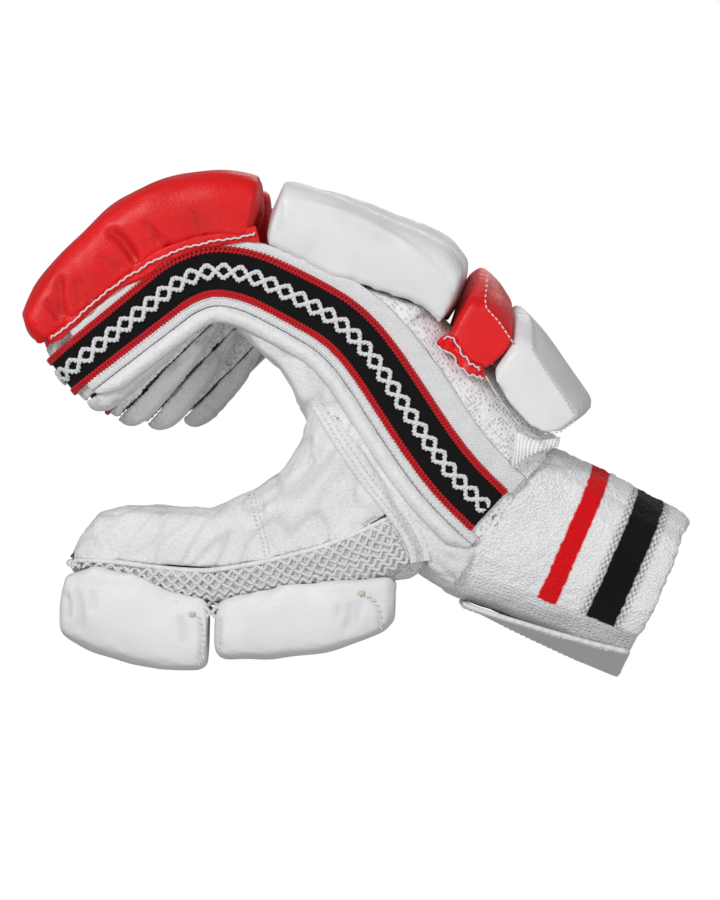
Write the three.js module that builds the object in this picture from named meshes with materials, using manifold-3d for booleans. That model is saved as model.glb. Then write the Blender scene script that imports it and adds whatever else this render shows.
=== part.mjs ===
// A cricket batting glove for the right hand, curled as round a bat handle.
// It stands on its thumb pad and on the strap under its cuff.
// Millimetres, +Z up: X runs from the fingertips (-) to the cuff (+), and Y from the index
// finger (-) to the little finger (+). The origin is on the floor, under the middle of the glove.

import * as THREE from "three";
import { mergeVertices } from "three/addons/utils/BufferGeometryUtils.js";
import Module from "manifold-3d";

const wasm = await Module();
wasm.setup();

// Walls and clearances
const GAP = 0.3; // between two pieces that touch
const LEATHER = 1.8; // palm, finger and thumb leather
const TOWEL = 4; // the towelling of the cuff
const TAPE_THICK = 0.8;
const STRAP_THICK = 2.4;

// The hand, from the wrist seam to the roots of the fingers, about the middle line of the tape
const HAND_LENGTH = 80;
const BACK_HEIGHT = 32; // up to the edge of the back
const PALM_HEIGHT = 34; // down to the palm
const BACK_ARCH = 7; // rise of the back between its two edges
const WRIST_LEAN = 7; // degrees that the wrist seam leans from square

// The fingers
const FINGER_WIDTH = 23;
const FINGER_SPACE = 1.7; // between two stalls
const FINGER_TOP = 14; // from the tape's middle line up to the pads
const FINGER_BELLY = 20; // and down to the leather under the fingertip
const NOSE = 11; // length of the rounded end of a stall
const PROXIMAL = 65; // index finger, root to middle joint
const DISTAL = 60; // index finger, middle joint to the start of its rounded end

// The tape and the roll beside it
const TAPE_WIDTH = 17;
const TAPE_START = 6; // from the wrist seam
const ROLL_WIDTH = 9.5;
const ROLL_THICK = 4;

// The pads on the fingers and the hand
const PAD_THICK = 25;
const PAD_PROUD = 4.5; // the outer pads stand out past the side of the finger
const PAD_SPACE = 1.6; // between two pads
const BAR_LENGTH = 21; // of the knuckle bar, along the hand
const BAR_THICK = 14;
const BACK_PAD_THICK = 16;
const BACK_PAD_START = 6; // from the wrist seam
const BLOCK_ARCH = 5; // rise of the bar and the back pad over the arch of the hand
const PAD_ROOT = -8; // where the white finger pads start at their foot, from the finger's root
const WHITE_PAD_END = 0.84; // where they end, as a share of the way to the middle joint
const BLOCK_EDGE = 2; // rounding of the upper edges of the bar and the back pad
const PAD_ROOT_LEAN = 24.7; // degrees that the pads' meeting faces lean towards the fingertips:
const BAR_LEAN = 43.5; // where the finger pads meet the bar, where it meets the back pad,
const WRIST_SIDE_LEAN = -10.2; // and the back pad's side at the wrist

// The thumb
const THUMB_ROOT = 0.42; // where its root is, as a share of the way from the wrist to the fingers
const THUMB_LAP = 8; // how far its panel laps over the side of the hand
const THUMB_LENGTH = 124;
const THUMB_DEPTH = 37;
const THUMB_WIDTH = 33;
const THUMB_PAD_WIDTH = 36;
const THUMB_PAD_THICK = 24;

// The cuff and its strap
const CUFF_LENGTH = 66;
const CUFF_HEIGHT = 62; // across the hand's thickness, at the open end
const CUFF_WIDTH = 76; // at the open end
const CUFF_SLOPE = 22; // degrees below level
const STRAP_LENGTH = 61;
const STRAP_WIDTH = 76;
const STRAP_FLARE = 46; // from the cuff's middle plane to the strap's near edge
const STRAP_TILT = 1; // degrees that the near edge is higher, at the wrist
const FLOOR_SINK = 1; // what the strap's far edge and the thumb pad lose to rest flat
const PIPING = 3; // diameter of the welt round the thumb panel

// The wrist end of the tape's middle line, in the side view
const WRIST_X = 50.5;
const WRIST_Z = 60.3;

// The way that the tape's middle line runs. Heading is degrees above level, towards the
// fingertips. Along is a share of the hand's length.
const HAND_BENDS = [
  { along: 0, heading: 40 },
  { along: 0.2, heading: 43 },
  { along: 0.4, heading: 51 },
  { along: 0.6, heading: 55 },
  { along: 0.85, heading: 55 },
  { along: 1, heading: 51 },
];

// Along is 0 to 1 from the root to the middle joint, and 1 to 2 from there to the rounded end.
// Curl is the share of a finger's own extra curl that is taken up by then.
const FINGER_BENDS = [
  { along: 0, heading: 51, curl: 0 },
  { along: 0.15, heading: 43, curl: 0 },
  { along: 0.35, heading: 28, curl: 0.1 },
  { along: 0.72, heading: 23.5, curl: 0.2 },
  { along: 0.97, heading: 3, curl: 0.45 },
  { along: 1.15, heading: -22, curl: 0.75 },
  { along: 1.35, heading: -40, curl: 1 },
  { along: 2, heading: -40.5, curl: 1 },
];

// Length is a share of the index finger's. Rise lifts a root by a share of the arch of the back.
// Dip and curl are degrees, the first taken up near the root and the second over the whole finger.
const FINGERS = [
  { name: "index", length: 1, rise: 0, dip: 0, curl: 0 },
  { name: "middle", length: 0.98, rise: 0.7, dip: 4, curl: 3 },
  { name: "ring", length: 0.89, rise: 0.6, dip: 5, curl: 4 },
  { name: "little", length: 0.72, rise: 0, dip: 4, curl: 3 },
];

// Sections of the hand: shares of its length, heights and width, and of the lean of the wrist.
const HAND_SECTIONS = [
  { along: 0, back: 1.05, palm: 0.97, wide: 0.9, lean: 1 },
  { along: 0.14, back: 1.0, palm: 1.04, wide: 0.95, lean: 0.6 },
  { along: 0.36, back: 0.97, palm: 1.05, wide: 0.99, lean: 0.15 },
  { along: 0.62, back: 1.0, palm: 1.0, wide: 1, lean: 0 },
  { along: 0.82, back: 0.88, palm: 1.0, wide: 1, lean: 0 },
  { along: 1, back: 0.8, palm: 0.97, wide: 1, lean: 0 },
];

// Sections of a stall: shares of FINGER_TOP and FINGER_BELLY, and how far it still has the
// height of the hand.
const FINGER_SECTIONS = [
  { along: 0, top: 1.3, belly: 1.55, root: 1 },
  { along: 0.2, top: 1.15, belly: 1.46, root: 0.25 },
  { along: 0.42, top: 1, belly: 1.33, root: 0 },
  { along: 0.72, top: 1, belly: 1.06, root: 0 },
  { along: 0.98, top: 1, belly: 0.76, root: 0 },
  { along: 1.08, top: 1, belly: 0.8, root: 0 },
  { along: 1.17, top: 1, belly: 0.73, root: 0 },
  { along: 1.27, top: 1, belly: 0.82, root: 0 },
  { along: 1.6, top: 1, belly: 1.0, root: 0 },
  { along: 2, top: 1, belly: 1.08, root: 0 },
];

// The rounded end of a stall: degrees round from its side.
const NOSE_TURNS = [36, 64, 82];

// Sections of a finger pad: shares of its length, thickness and width.
const PAD_SECTIONS = [
  { along: 0, thick: 0.8, wide: 0.9 },
  { along: 0.04, thick: 0.95, wide: 0.98 },
  { along: 0.17, thick: 1, wide: 1 },
  { along: 0.36, thick: 1, wide: 1 },
  { along: 0.56, thick: 1, wide: 1 },
  { along: 0.76, thick: 1, wide: 1 },
  { along: 0.95, thick: 0.95, wide: 0.98 },
  { along: 1, thick: 0.8, wide: 0.9 },
];

// How thick the white and the red pads are along their length, as shares of PAD_THICK.
const WHITE_PAD_HEIGHTS = [
  { along: 0, thick: 0.8 },
  { along: 0.3, thick: 0.9 },
  { along: 0.6, thick: 1.12 },
  { along: 1, thick: 0.98 },
];
const RED_PAD_HEIGHTS = [
  { along: 0, thick: 0.97 },
  { along: 0.34, thick: 1 },
  { along: 0.7, thick: 0.9 },
  { along: 0.9, thick: 0.74 },
  { along: 1, thick: 0.48 },
];

// Half of the outline of a pad across the finger: shares of its half width and thickness.
const PAD_OUTLINE = [
  { side: 0.8, up: 0 },
  { side: 1, up: 0.3 },
  { side: 0.97, up: 0.72 },
  { side: 0.72, up: 0.92 },
  { side: 0.3, up: 1 },
];

// The same for a pad under the thumb, whose lower side is the full one.
const THUMB_PAD_OUTLINE = [
  { side: 0.5, up: 0 },
  { side: 0.88, up: 0.1 },
  { side: 1, up: 0.38 },
  { side: 0.98, up: 0.72 },
  { side: 0.86, up: 1 },
];

// Sections of the knuckle bar and the back pad, from the near end to the far end: shares of half
// their width and of their thickness.
const BLOCK_SECTIONS = [
  { across: -1, up: 0.15 },
  { across: -0.96, up: 0.5 },
  { across: -0.87, up: 1 },
  { across: -0.45, up: 1 },
  { across: 0, up: 1 },
  { across: 0.45, up: 1 },
  { across: 0.87, up: 1 },
  { across: 0.96, up: 0.5 },
  { across: 1, up: 0.15 },
];

// Sections of the thumb stall from its root to its tip, in the side view. Each end is a share of
// THUMB_LENGTH from the root and a share of THUMB_DEPTH over the floor. Wide is a share of
// THUMB_WIDTH, aside a share of it from the glove's middle plane, and seam the share of the
// section that the net takes.
const THUMB_SECTIONS = [
  { topAlong: 0.315, topUp: 2.74, lowAlong: -0.01, lowUp: 1.0, wide: 0.98, aside: 1.06, seam: 0.34 },
  { topAlong: 0.34, topUp: 2.36, lowAlong: 0.145, lowUp: 0.92, wide: 1, aside: 1.03, seam: 0.32 },
  { topAlong: 0.39, topUp: 2.09, lowAlong: 0.285, lowUp: 0.87, wide: 1, aside: 1, seam: 0.33 },
  { topAlong: 0.47, topUp: 1.88, lowAlong: 0.415, lowUp: 0.8, wide: 1, aside: 0.92, seam: 0.33 },
  { topAlong: 0.605, topUp: 1.665, lowAlong: 0.585, lowUp: 0.66, wide: 0.97, aside: 0.8, seam: 0.39 },
  { topAlong: 0.745, topUp: 1.675, lowAlong: 0.745, lowUp: 0.73, wide: 0.93, aside: 0.73, seam: 0.36 },
  { topAlong: 0.865, topUp: 1.665, lowAlong: 0.872, lowUp: 0.86, wide: 0.84, aside: 0.68, seam: 0.28 },
  { topAlong: 0.945, topUp: 1.58, lowAlong: 0.96, lowUp: 0.89, wide: 0.68, aside: 0.65, seam: 0.26 },
  { topAlong: 0.995, topUp: 1.37, lowAlong: 1.01, lowUp: 0.93, wide: 0.46, aside: 0.64, seam: 0.28 },
  { topAlong: 1.022, topUp: 1.2, lowAlong: 1.03, lowUp: 1.0, wide: 0.22, aside: 0.64, seam: 0.3 },
];

// Sections of the two pads under the thumb, as shares of THUMB_LENGTH from its root, of
// THUMB_DEPTH over the floor for their tops, of THUMB_PAD_THICK over the floor for their bottoms,
// of THUMB_PAD_WIDTH, and of THUMB_WIDTH from the glove's middle plane.
const THUMB_TIP_PAD = [
  { along: 1.06, top: 0.66, bottom: 0.58, wide: 0.62, aside: 0.64 },
  { along: 1.045, top: 0.92, bottom: 0.46, wide: 0.84, aside: 0.65 },
  { along: 0.95, top: 1.05, bottom: 0.22, wide: 0.97, aside: 0.67 },
  { along: 0.83, top: 0.98, bottom: 0.06, wide: 1, aside: 0.71 },
  { along: 0.71, top: 0.83, bottom: -0.03, wide: 1, aside: 0.75 },
  { along: 0.625, top: 0.78, bottom: -0.03, wide: 1, aside: 0.79 },
  { along: 0.598, top: 0.7, bottom: 0.09, wide: 0.92, aside: 0.8 },
];
const THUMB_BASE_PAD = [
  { along: 0.583, top: 0.7, bottom: 0.32, wide: 0.92, aside: 0.81 },
  { along: 0.557, top: 0.78, bottom: 0.19, wide: 1, aside: 0.83 },
  { along: 0.4, top: 0.92, bottom: 0.22, wide: 1, aside: 0.93 },
  { along: 0.245, top: 0.98, bottom: 0.35, wide: 0.98, aside: 1.0 },
  { along: 0.13, top: 1.02, bottom: 0.56, wide: 0.94, aside: 1.03 },
  { along: 0.065, top: 1.06, bottom: 0.73, wide: 0.86, aside: 1.06 },
  { along: 0.035, top: 0.98, bottom: 0.92, wide: 0.66, aside: 1.06 },
];

// Sections of the cuff from the wrist seam to its open end: shares of CUFF_LENGTH, CUFF_HEIGHT
// and CUFF_WIDTH, of the wrist seam's lean, and the boxiness of the section.
const CUFF_SECTIONS = [
  { along: 0, high: 1.08, wide: 1.15, lean: 1, boxy: 4 },
  { along: 0.12, high: 1.09, wide: 1.11, lean: 0.85, boxy: 3.6 },
  { along: 0.4, high: 1.08, wide: 1.05, lean: 0.5, boxy: 3 },
  { along: 0.7, high: 1.05, wide: 1.01, lean: 0.2, boxy: 2.7 },
  { along: 0.96, high: 1.0, wide: 1, lean: 0, boxy: 2.5 },
  { along: 1, high: 0.975, wide: 0.98, lean: 0, boxy: 2.5 },
];

// Sections of the strap from the wrist to the open end: shares of its width.
const STRAP_SECTIONS = [
  { along: 0, wide: 0.93 },
  { along: 0.04, wide: 0.99 },
  { along: 0.25, wide: 1 },
  { along: 0.5, wide: 1 },
  { along: 0.75, wide: 1 },
  { along: 0.97, wide: 1 },
  { along: 1, wide: 0.96 },
];

const HALF_PITCH = (FINGER_WIDTH + FINGER_SPACE) / 2;
const HALF_HAND = 4 * HALF_PITCH - FINGER_SPACE / 2;
const THUMB_ROOT_X = WRIST_X - THUMB_ROOT * HAND_LENGTH;
const SEAM_HEIGHT = -(TAPE_WIDTH + ROLL_WIDTH) / 2; // of the leather's edge, under the roll
const RADIANS = Math.PI / 180;
const HAND_BOXY = 6; // 2 makes a section an ellipse, and more makes it boxier
const STALL_BOXY = 5;
const THUMB_BOXY = 3;

const leather = new THREE.MeshStandardMaterial({ color: 0xe9e9ea, roughness: 0.62, metalness: 0 });
const whitePad = new THREE.MeshStandardMaterial({ color: 0xf0f0f1, roughness: 0.42, metalness: 0 });
const redPad = new THREE.MeshStandardMaterial({ color: 0xd31519, roughness: 0.4, metalness: 0 });
const knit = new THREE.MeshStandardMaterial({ color: 0xdededf, roughness: 0.9, metalness: 0 });
const tape = new THREE.MeshStandardMaterial({ color: 0x17171a, roughness: 0.88, metalness: 0 });
const towel = new THREE.MeshStandardMaterial({ color: 0xececed, roughness: 0.97, metalness: 0 });
const smoothStrap = new THREE.MeshStandardMaterial({ color: 0xe2e3e5, roughness: 0.45, metalness: 0 });

function lerp(a, b, share) {
  return a + (b - a) * share;
}

function point(x, y, z) {
  return new THREE.Vector3(x, y, z);
}

// The value of a column of a table at a place along it, on straight lines between its rows.
function column(rows, name, along) {
  const next = rows.findIndex((row) => row.along >= along);
  if (next === 0) return rows[0][name];
  if (next < 0) return rows[rows.length - 1][name];
  const [a, b] = [rows[next - 1], rows[next]];
  return lerp(a[name], b[name], (along - a.along) / (b.along - a.along));
}

// A closed solid from its corners and triangles, turned so that its faces point outwards.
function closedSolid(corners, triangles) {
  let volume = 0;
  for (let i = 0; i < triangles.length; i += 3) {
    const [a, b, c] = [0, 1, 2].map((k) => corners[triangles[i + k]]);
    volume += a.dot(point(0, 0, 0).crossVectors(b, c));
  }
  const geometry = new THREE.BufferGeometry();
  const places = corners.flatMap((corner) => corner.toArray());
  geometry.setAttribute("position", new THREE.Float32BufferAttribute(places, 3));
  geometry.setIndex(volume < 0 ? triangles.slice().reverse() : triangles);
  return toSolid(geometry);
}

function toSolid(geometry) {
  geometry.deleteAttribute("normal");
  geometry.deleteAttribute("uv");
  const merged = mergeVertices(geometry, 1e-4);
  const vertProperties = merged.attributes.position.array;
  const triVerts = new Uint32Array(merged.index.array);
  return new wasm.Manifold(new wasm.Mesh({ numProp: 3, vertProperties, triVerts }));
}

function toGeometry(solid) {
  const made = solid.getMesh();
  const geometry = new THREE.BufferGeometry();
  geometry.setAttribute("position", new THREE.BufferAttribute(made.vertProperties, 3));
  geometry.setIndex(new THREE.BufferAttribute(made.triVerts, 1));
  geometry.computeVertexNormals();
  return geometry;
}

// The triangles of a flat ring, whose outline may have hollows.
function endFaces(ring) {
  const sum = ring.reduce((total, corner) => total.add(corner), point(0, 0, 0));
  const middle = sum.divideScalar(ring.length);
  const arms = ring.map((corner) => corner.clone().sub(middle));
  const normal = point(0, 0, 0);
  arms.forEach((arm, i) => normal.add(point(0, 0, 0).crossVectors(arm, arms[(i + 1) % arms.length])));
  const u = arms[0].clone().normalize();
  const v = point(0, 0, 0).crossVectors(normal.normalize(), u);
  const outline = arms.map((arm) => new THREE.Vector2(arm.dot(u), arm.dot(v)));
  return THREE.ShapeUtils.triangulateShape(outline, []);
}

// A solid through rings of equal count, closed by flat ends.
function loft(rings) {
  const count = rings[0].length;
  const triangles = [];
  for (let i = 0; i + 1 < rings.length; i += 1) {
    for (let k = 0; k < count; k += 1) {
      const [a, b] = [i * count + k, i * count + ((k + 1) % count)];
      triangles.push(a, b, b + count, a, b + count, a + count);
    }
  }
  const last = (rings.length - 1) * count;
  for (const [a, b, c] of endFaces(rings[0])) triangles.push(a, c, b);
  for (const [a, b, c] of endFaces(rings[rings.length - 1])) {
    triangles.push(last + a, last + b, last + c);
  }
  return closedSolid(rings.flat(), triangles);
}

const glove = new THREE.Group();

function addPiece(name, solid, material) {
  const piece = new THREE.Mesh(toGeometry(solid), material);
  piece.name = name;
  glove.add(piece);
}

// The largest body of a solid, because what a cut leaves as loose crumbs isn't kept.
function mainBody(solid) {
  return solid.decompose().reduce((best, body) => (body.volume() > best.volume() ? body : best));
}

// A line in the side view that is walked in short steps and turns as it goes.
class Spine {
  constructor(start, length, headingAt) {
    const count = Math.ceil(length);
    this.step = length / count;
    this.length = length;
    this.headingAt = headingAt;
    this.places = [start];
    for (let i = 0; i < count; i += 1) {
      const turn = headingAt((i + 0.5) * this.step) * RADIANS;
      const forward = point(-Math.cos(turn), 0, Math.sin(turn)).multiplyScalar(this.step);
      this.places.push(forward.add(this.places[i]));
    }
  }

  // A point at a distance along the line, a height over it and a distance across the glove.
  at(s, height, across) {
    const whole = Math.min(Math.max(Math.floor(s / this.step), 0), this.places.length - 2);
    const place = this.places[whole].clone().lerp(this.places[whole + 1], s / this.step - whole);
    const turn = this.headingAt(Math.min(Math.max(s, 0), this.length)) * RADIANS;
    return place.add(point(Math.sin(turn) * height, across, Math.cos(turn) * height));
  }
}

// A rounded ring with a half width, from low to high, whose upper side may be arched.
function sectionRing(count, place, half, low, high, boxy, arch = 0) {
  const ring = [];
  for (let i = 0; i < count; i += 1) {
    const turn = ((i + 0.5) / count) * 2 * Math.PI;
    const [c, s] = [Math.cos(turn), Math.sin(turn)];
    const side = -Math.sign(c) * Math.abs(c) ** (2 / boxy);
    const up = Math.sign(s) * Math.abs(s) ** (2 / boxy);
    const crown = s > 0 ? arch * (1 - side * side) * up : 0;
    ring.push(place(half * side, lerp(low, high, (1 + up) / 2) + crown));
  }
  return ring;
}

// A ring from one half of an outline, as shares of a half width on each side and of a height.
function outlineRing(outline, place, near, far, low, high) {
  const left = outline.map((row) => place(-near * row.side, lerp(low, high, row.up)));
  const right = outline.map((row) => place(far * row.side, lerp(low, high, row.up)));
  return [...left, ...right.reverse()];
}

const handSpine = new Spine(point(WRIST_X, 0, WRIST_Z), HAND_LENGTH, (s) =>
  column(HAND_BENDS, "heading", s / HAND_LENGTH)
);

// The height of the back of the hand over the tape's middle line.
function backHeight(s, across) {
  const arch = BACK_ARCH * (1 - (across / HALF_HAND) ** 2);
  return BACK_HEIGHT * column(HAND_SECTIONS, "back", s / HAND_LENGTH) + arch;
}

// The outside of the hand, grown by a margin and longer at both ends by a distance.
function handForm(margin, longer = 0) {
  const rings = HAND_SECTIONS.map((row) => {
    const more = row.along === 0 ? -longer : row.along === 1 ? longer : 0;
    const lean = Math.tan(WRIST_LEAN * row.lean * RADIANS);
    const place = (y, n) => handSpine.at(row.along * HAND_LENGTH + more + n * lean, n, y);
    const half = HALF_HAND * row.wide + margin;
    const low = -PALM_HEIGHT * row.palm - margin;
    return sectionRing(16, place, half, low, BACK_HEIGHT * row.back + margin, HAND_BOXY, BACK_ARCH);
  });
  return loft(rings);
}

// What lies over a seam that runs at one height along a spine, as a solid to cut with.
function overSeam(spine, length, seam, half, across) {
  const beyond = 20; // past both ends
  const steps = 16;
  const rings = [];
  for (let i = 0; i <= steps; i += 1) {
    const s = lerp(-beyond, length + beyond, i / steps);
    const place = (y, n) => spine.at(s, n, across + y);
    const high = BACK_HEIGHT * 2;
    rings.push([place(-half, seam), place(-half, high), place(half, high), place(half, seam)]);
  }
  return loft(rings);
}

// The two parts of a hollow form on either side of a seam, a gap apart.
function partAtSeam(shell, overAt) {
  const over = mainBody(shell.intersect(overAt(GAP / 2)));
  const under = mainBody(shell.subtract(overAt(-GAP / 2)));
  return [over, under];
}

// One finger: its spine, its place across the hand, and the forms that belong to it.
class Finger {
  constructor(row, index) {
    this.name = row.name;
    this.across = (2 * index - 3) * HALF_PITCH;
    this.proximal = PROXIMAL * row.length;
    this.distal = DISTAL * row.length;
    this.end = this.proximal + this.distal;
    this.lift = row.rise * BACK_ARCH;
    const root = handSpine.at(HAND_LENGTH, this.lift, 0);
    this.spine = new Spine(root, this.end, (s) => {
      const along = this.share(s);
      const dip = row.dip * Math.min(along * 4, 1);
      const curl = row.curl * column(FINGER_BENDS, "curl", along);
      return column(FINGER_BENDS, "heading", along) - dip - curl;
    });
  }

  // 0 to 1 up to the middle joint, and 1 to 2 from there to the rounded end.
  share(s) {
    return s < this.proximal ? s / this.proximal : 1 + (s - this.proximal) / this.distal;
  }

  distance(share) {
    return share < 1 ? share * this.proximal : this.proximal + (share - 1) * this.distal;
  }

  // Heights of the top and the belly of the stall over the spine.
  top(s) {
    const along = this.share(Math.max(s, 0));
    const root = backHeight(HAND_LENGTH, this.across) - this.lift;
    const own = FINGER_TOP * column(FINGER_SECTIONS, "top", along);
    return lerp(own, root, column(FINGER_SECTIONS, "root", along));
  }

  belly(s) {
    const along = this.share(s);
    const root = PALM_HEIGHT * column(HAND_SECTIONS, "palm", 1) + this.lift;
    const own = FINGER_BELLY * column(FINGER_SECTIONS, "belly", along);
    return -lerp(own, root, column(FINGER_SECTIONS, "root", along));
  }

  // The outside of the stall, grown by a margin. It starts at a distance from its root.
  form(margin, start) {
    const ringAt = (s, beyond, shrink) => {
      const place = (y, n) => this.spine.at(s + beyond, n, this.across + y);
      const half = (FINGER_WIDTH / 2 + margin) * shrink;
      const round = lerp(1, shrink, 0.25);
      const low = (this.belly(s) - margin) * round;
      return sectionRing(10, place, half, low, (this.top(s) + margin) * round, STALL_BOXY);
    };
    const rings = FINGER_SECTIONS.map((row) => ringAt(Math.max(this.distance(row.along), start), 0, 1));
    if (start < 0) rings.unshift(ringAt(0, start, 1));
    for (const turn of NOSE_TURNS) {
      const beyond = (NOSE + margin) * Math.sin(turn * RADIANS);
      rings.push(ringAt(this.end, beyond, Math.cos(turn * RADIANS)));
    }
    return loft(rings);
  }

  // A place on the side of the finger or, before its root, on the side of the hand.
  onSide(s, height, out, side) {
    const clear = GAP + out;
    if (s >= 0) return this.spine.at(s, height, this.across + side * (FINGER_WIDTH / 2 + clear));
    const onHand = HAND_LENGTH + s;
    const half = HALF_HAND * column(HAND_SECTIONS, "wide", onHand / HAND_LENGTH);
    return handSpine.at(onHand, height + this.lift, side * (half + clear));
  }

  // A place on the rounded end, some degrees round from its near side.
  onNose(turn, height, out) {
    const beyond = (NOSE + GAP + out) * Math.sin(turn * RADIANS);
    const y = -(FINGER_WIDTH / 2 + GAP + out) * Math.cos(turn * RADIANS);
    return this.spine.at(this.end + beyond, height, this.across + y);
  }

  // A band round the end of the finger. It runs on to the wrist on the outer side of the hand,
  // which side gives as -1 or 1, or only round the end where side is 0.
  band(low, high, thick, side, turns) {
    const ringOf = (place) => [
      place(low, 0),
      place(lerp(low, high, 0.06), thick * 0.7),
      place(lerp(low, high, 0.3), thick),
      place(lerp(low, high, 0.7), thick),
      place(lerp(low, high, 0.94), thick * 0.7),
      place(high, 0),
    ];
    const rings = [];
    const steps = 17;
    const start = TAPE_START - HAND_LENGTH;
    for (let i = 0; side !== 0 && i < steps; i += 1) {
      const s = lerp(start, this.end, i / steps);
      rings.push(ringOf((height, out) => this.onSide(s, height, out, side)));
    }
    const [from, to] = turns;
    const bends = Math.ceil((to - from) / 24);
    for (let i = 0; i <= bends; i += 1) {
      const turn = lerp(from, to, i / bends);
      const near = side > 0 ? 180 - turn : turn;
      rings.push(ringOf((height, out) => this.onNose(near, height, out)));
    }
    return loft(rings);
  }

  // A foam pad on the stall. Its two ends lean, so that its top lies further along than its foot.
  pad(from, to, leanFrom, leanTo, heights) {
    const outward = FINGER_WIDTH / 2 + PAD_PROUD;
    const inward = HALF_PITCH - PAD_SPACE / 2;
    const near = this.name === "index" ? outward : inward;
    const far = this.name === "little" ? outward : inward;
    const sunk = 3; // the stall cuts the pad's foot to its own shape
    const rings = PAD_SECTIONS.map((row) => {
      const s = lerp(from, to, row.along);
      const foot = this.top(s) + GAP;
      const lean = lerp(leanFrom, leanTo, row.along);
      const place = (y, n) => this.spine.at(s + lean * (n - foot), n, this.across + y);
      const high = foot + PAD_THICK * row.thick * column(heights, "thick", row.along);
      return outlineRing(PAD_OUTLINE, place, near * row.wide, far * row.wide, foot - sunk, high);
    });
    return loft(rings);
  }
}

// A point by shares of the thumb's length, depth and width.
function thumbPoint(along, up, aside) {
  return point(THUMB_ROOT_X - along * THUMB_LENGTH, -aside * THUMB_WIDTH, up * THUMB_DEPTH);
}

// The rings of the thumb, made by a function of each section's row, height and way to place.
// The first is repeated further back, inside the hand.
function thumbRings(inside, ringOf) {
  const rings = THUMB_SECTIONS.map((row) => {
    const high = thumbPoint(row.topAlong, row.topUp, row.aside);
    const low = thumbPoint(row.lowAlong, row.lowUp, row.aside);
    const up = high.clone().sub(low);
    const height = up.length();
    up.normalize();
    return ringOf(row, height, (y, n) => low.clone().addScaledVector(up, n).add(point(0, y, 0)));
  });
  const seam = handSpine.headingAt(HAND_LENGTH / 2) * RADIANS;
  const inward = point(Math.sin(seam), 0, Math.cos(seam)).multiplyScalar(inside);
  return [rings[0].map((corner) => corner.clone().add(inward)), ...rings];
}

// The outside of the thumb stall, grown by a margin.
function thumbForm(margin, inside) {
  const rings = thumbRings(inside, (row, height, place) =>
    sectionRing(12, place, (THUMB_WIDTH / 2) * row.wide + margin, -margin, height + margin, THUMB_BOXY)
  );
  return loft(rings);
}

// What lies over the seam between the thumb's leather and its net, from inside the hand to beyond
// the thumb's tip.
function overThumbSeam(shift) {
  const reach = THUMB_WIDTH; // past the thumb on every side
  const rings = thumbRings(PALM_HEIGHT, (row, height, place) => {
    const seam = row.seam * height + shift;
    const high = height + reach;
    return [place(-reach, seam), place(-reach, high), place(reach, high), place(reach, seam)];
  });
  const tip = rings[rings.length - 1];
  return loft([...rings, tip.map((corner) => corner.clone().add(point(-reach, 0, 0)))]);
}

function thumbPad(rows) {
  const rings = rows.map((row) => {
    const place = (y, z) => thumbPoint(row.along, 0, row.aside).add(point(0, y, z));
    const half = (THUMB_PAD_WIDTH / 2) * row.wide;
    const low = row.bottom * THUMB_PAD_THICK;
    return outlineRing(THUMB_PAD_OUTLINE, place, half, half, low, row.top * THUMB_DEPTH);
  });
  return loft(rings);
}

// A block across the back of the hand, from its index side to its little side. Its two long sides
// start at distances from the wrist seam, and lean.
function acrossBlock(from, to, leanFrom, leanTo, thick) {
  const half = HALF_HAND + PAD_PROUD / 2;
  const slant = (degrees, n) => Math.tan(degrees * RADIANS) * (n - BACK_HEIGHT);
  const rings = BLOCK_SECTIONS.map((row) => {
    const y = row.across * half;
    const foot = BACK_HEIGHT - thick * 0.5;
    const edge = backHeight((from + to) / 2, HALF_HAND);
    const high = edge + thick * row.up + (BACK_ARCH + BLOCK_ARCH) * (1 - row.across ** 2);
    const inset = row.up < 1 ? BLOCK_EDGE * (1 - row.up) : 0;
    const place = (s, lean, n) => handSpine.at(s + slant(lean, n), n, y);
    return [
      place(from + inset, leanFrom, foot),
      place(from + inset, leanFrom, high - BLOCK_EDGE),
      place(from + inset + BLOCK_EDGE, leanFrom, high),
      place(to - inset - BLOCK_EDGE, leanTo, high),
      place(to - inset, leanTo, high - BLOCK_EDGE),
      place(to - inset, leanTo, foot),
    ];
  });
  return loft(rings);
}

// The axes of the cuff: forward out of its open end, upward across it.
function cuffAxes() {
  const slope = CUFF_SLOPE * RADIANS;
  const forward = point(Math.cos(slope), 0, -Math.sin(slope));
  const upward = point(Math.sin(slope), 0, Math.cos(slope));
  return { start: handSpine.at(0, 0, 0).addScaledVector(forward, GAP), forward, upward };
}

// A place in the cuff's frame. The first sections lean as the wrist seam does.
function onCuff(along, across, up, more = 0) {
  const { start, forward, upward } = cuffAxes();
  const seamLean = Math.tan((handSpine.headingAt(0) - WRIST_LEAN - CUFF_SLOPE) * RADIANS);
  const s = along * CUFF_LENGTH + more + column(CUFF_SECTIONS, "lean", along) * up * seamLean;
  return start.addScaledVector(forward, s).addScaledVector(upward, up).add(point(0, across, 0));
}

// The outside of the cuff, grown by a margin and longer at both ends by a distance.
function cuffForm(margin, longer) {
  const rings = CUFF_SECTIONS.map((row) => {
    const more = row.along === 0 ? -longer : row.along === 1 ? longer : 0;
    const place = (y, n) => onCuff(row.along, y, n, more);
    const high = (CUFF_HEIGHT / 2) * row.high + margin;
    return sectionRing(16, place, (CUFF_WIDTH / 2) * row.wide + margin, -high, high, row.boxy);
  });
  return loft(rings);
}

// The middle of the strap's upper face, where a strap of some slope lies against the cuff.
function strapTop(along, slope) {
  const half = (CUFF_WIDTH / 2) * column(CUFF_SECTIONS, "wide", along);
  const high = (CUFF_HEIGHT / 2) * column(CUFF_SECTIONS, "high", along);
  const drop = Math.hypot(half * slope, high) - high;
  return onCuff(along, 0, -high).add(point(0, 0, -drop));
}

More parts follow.
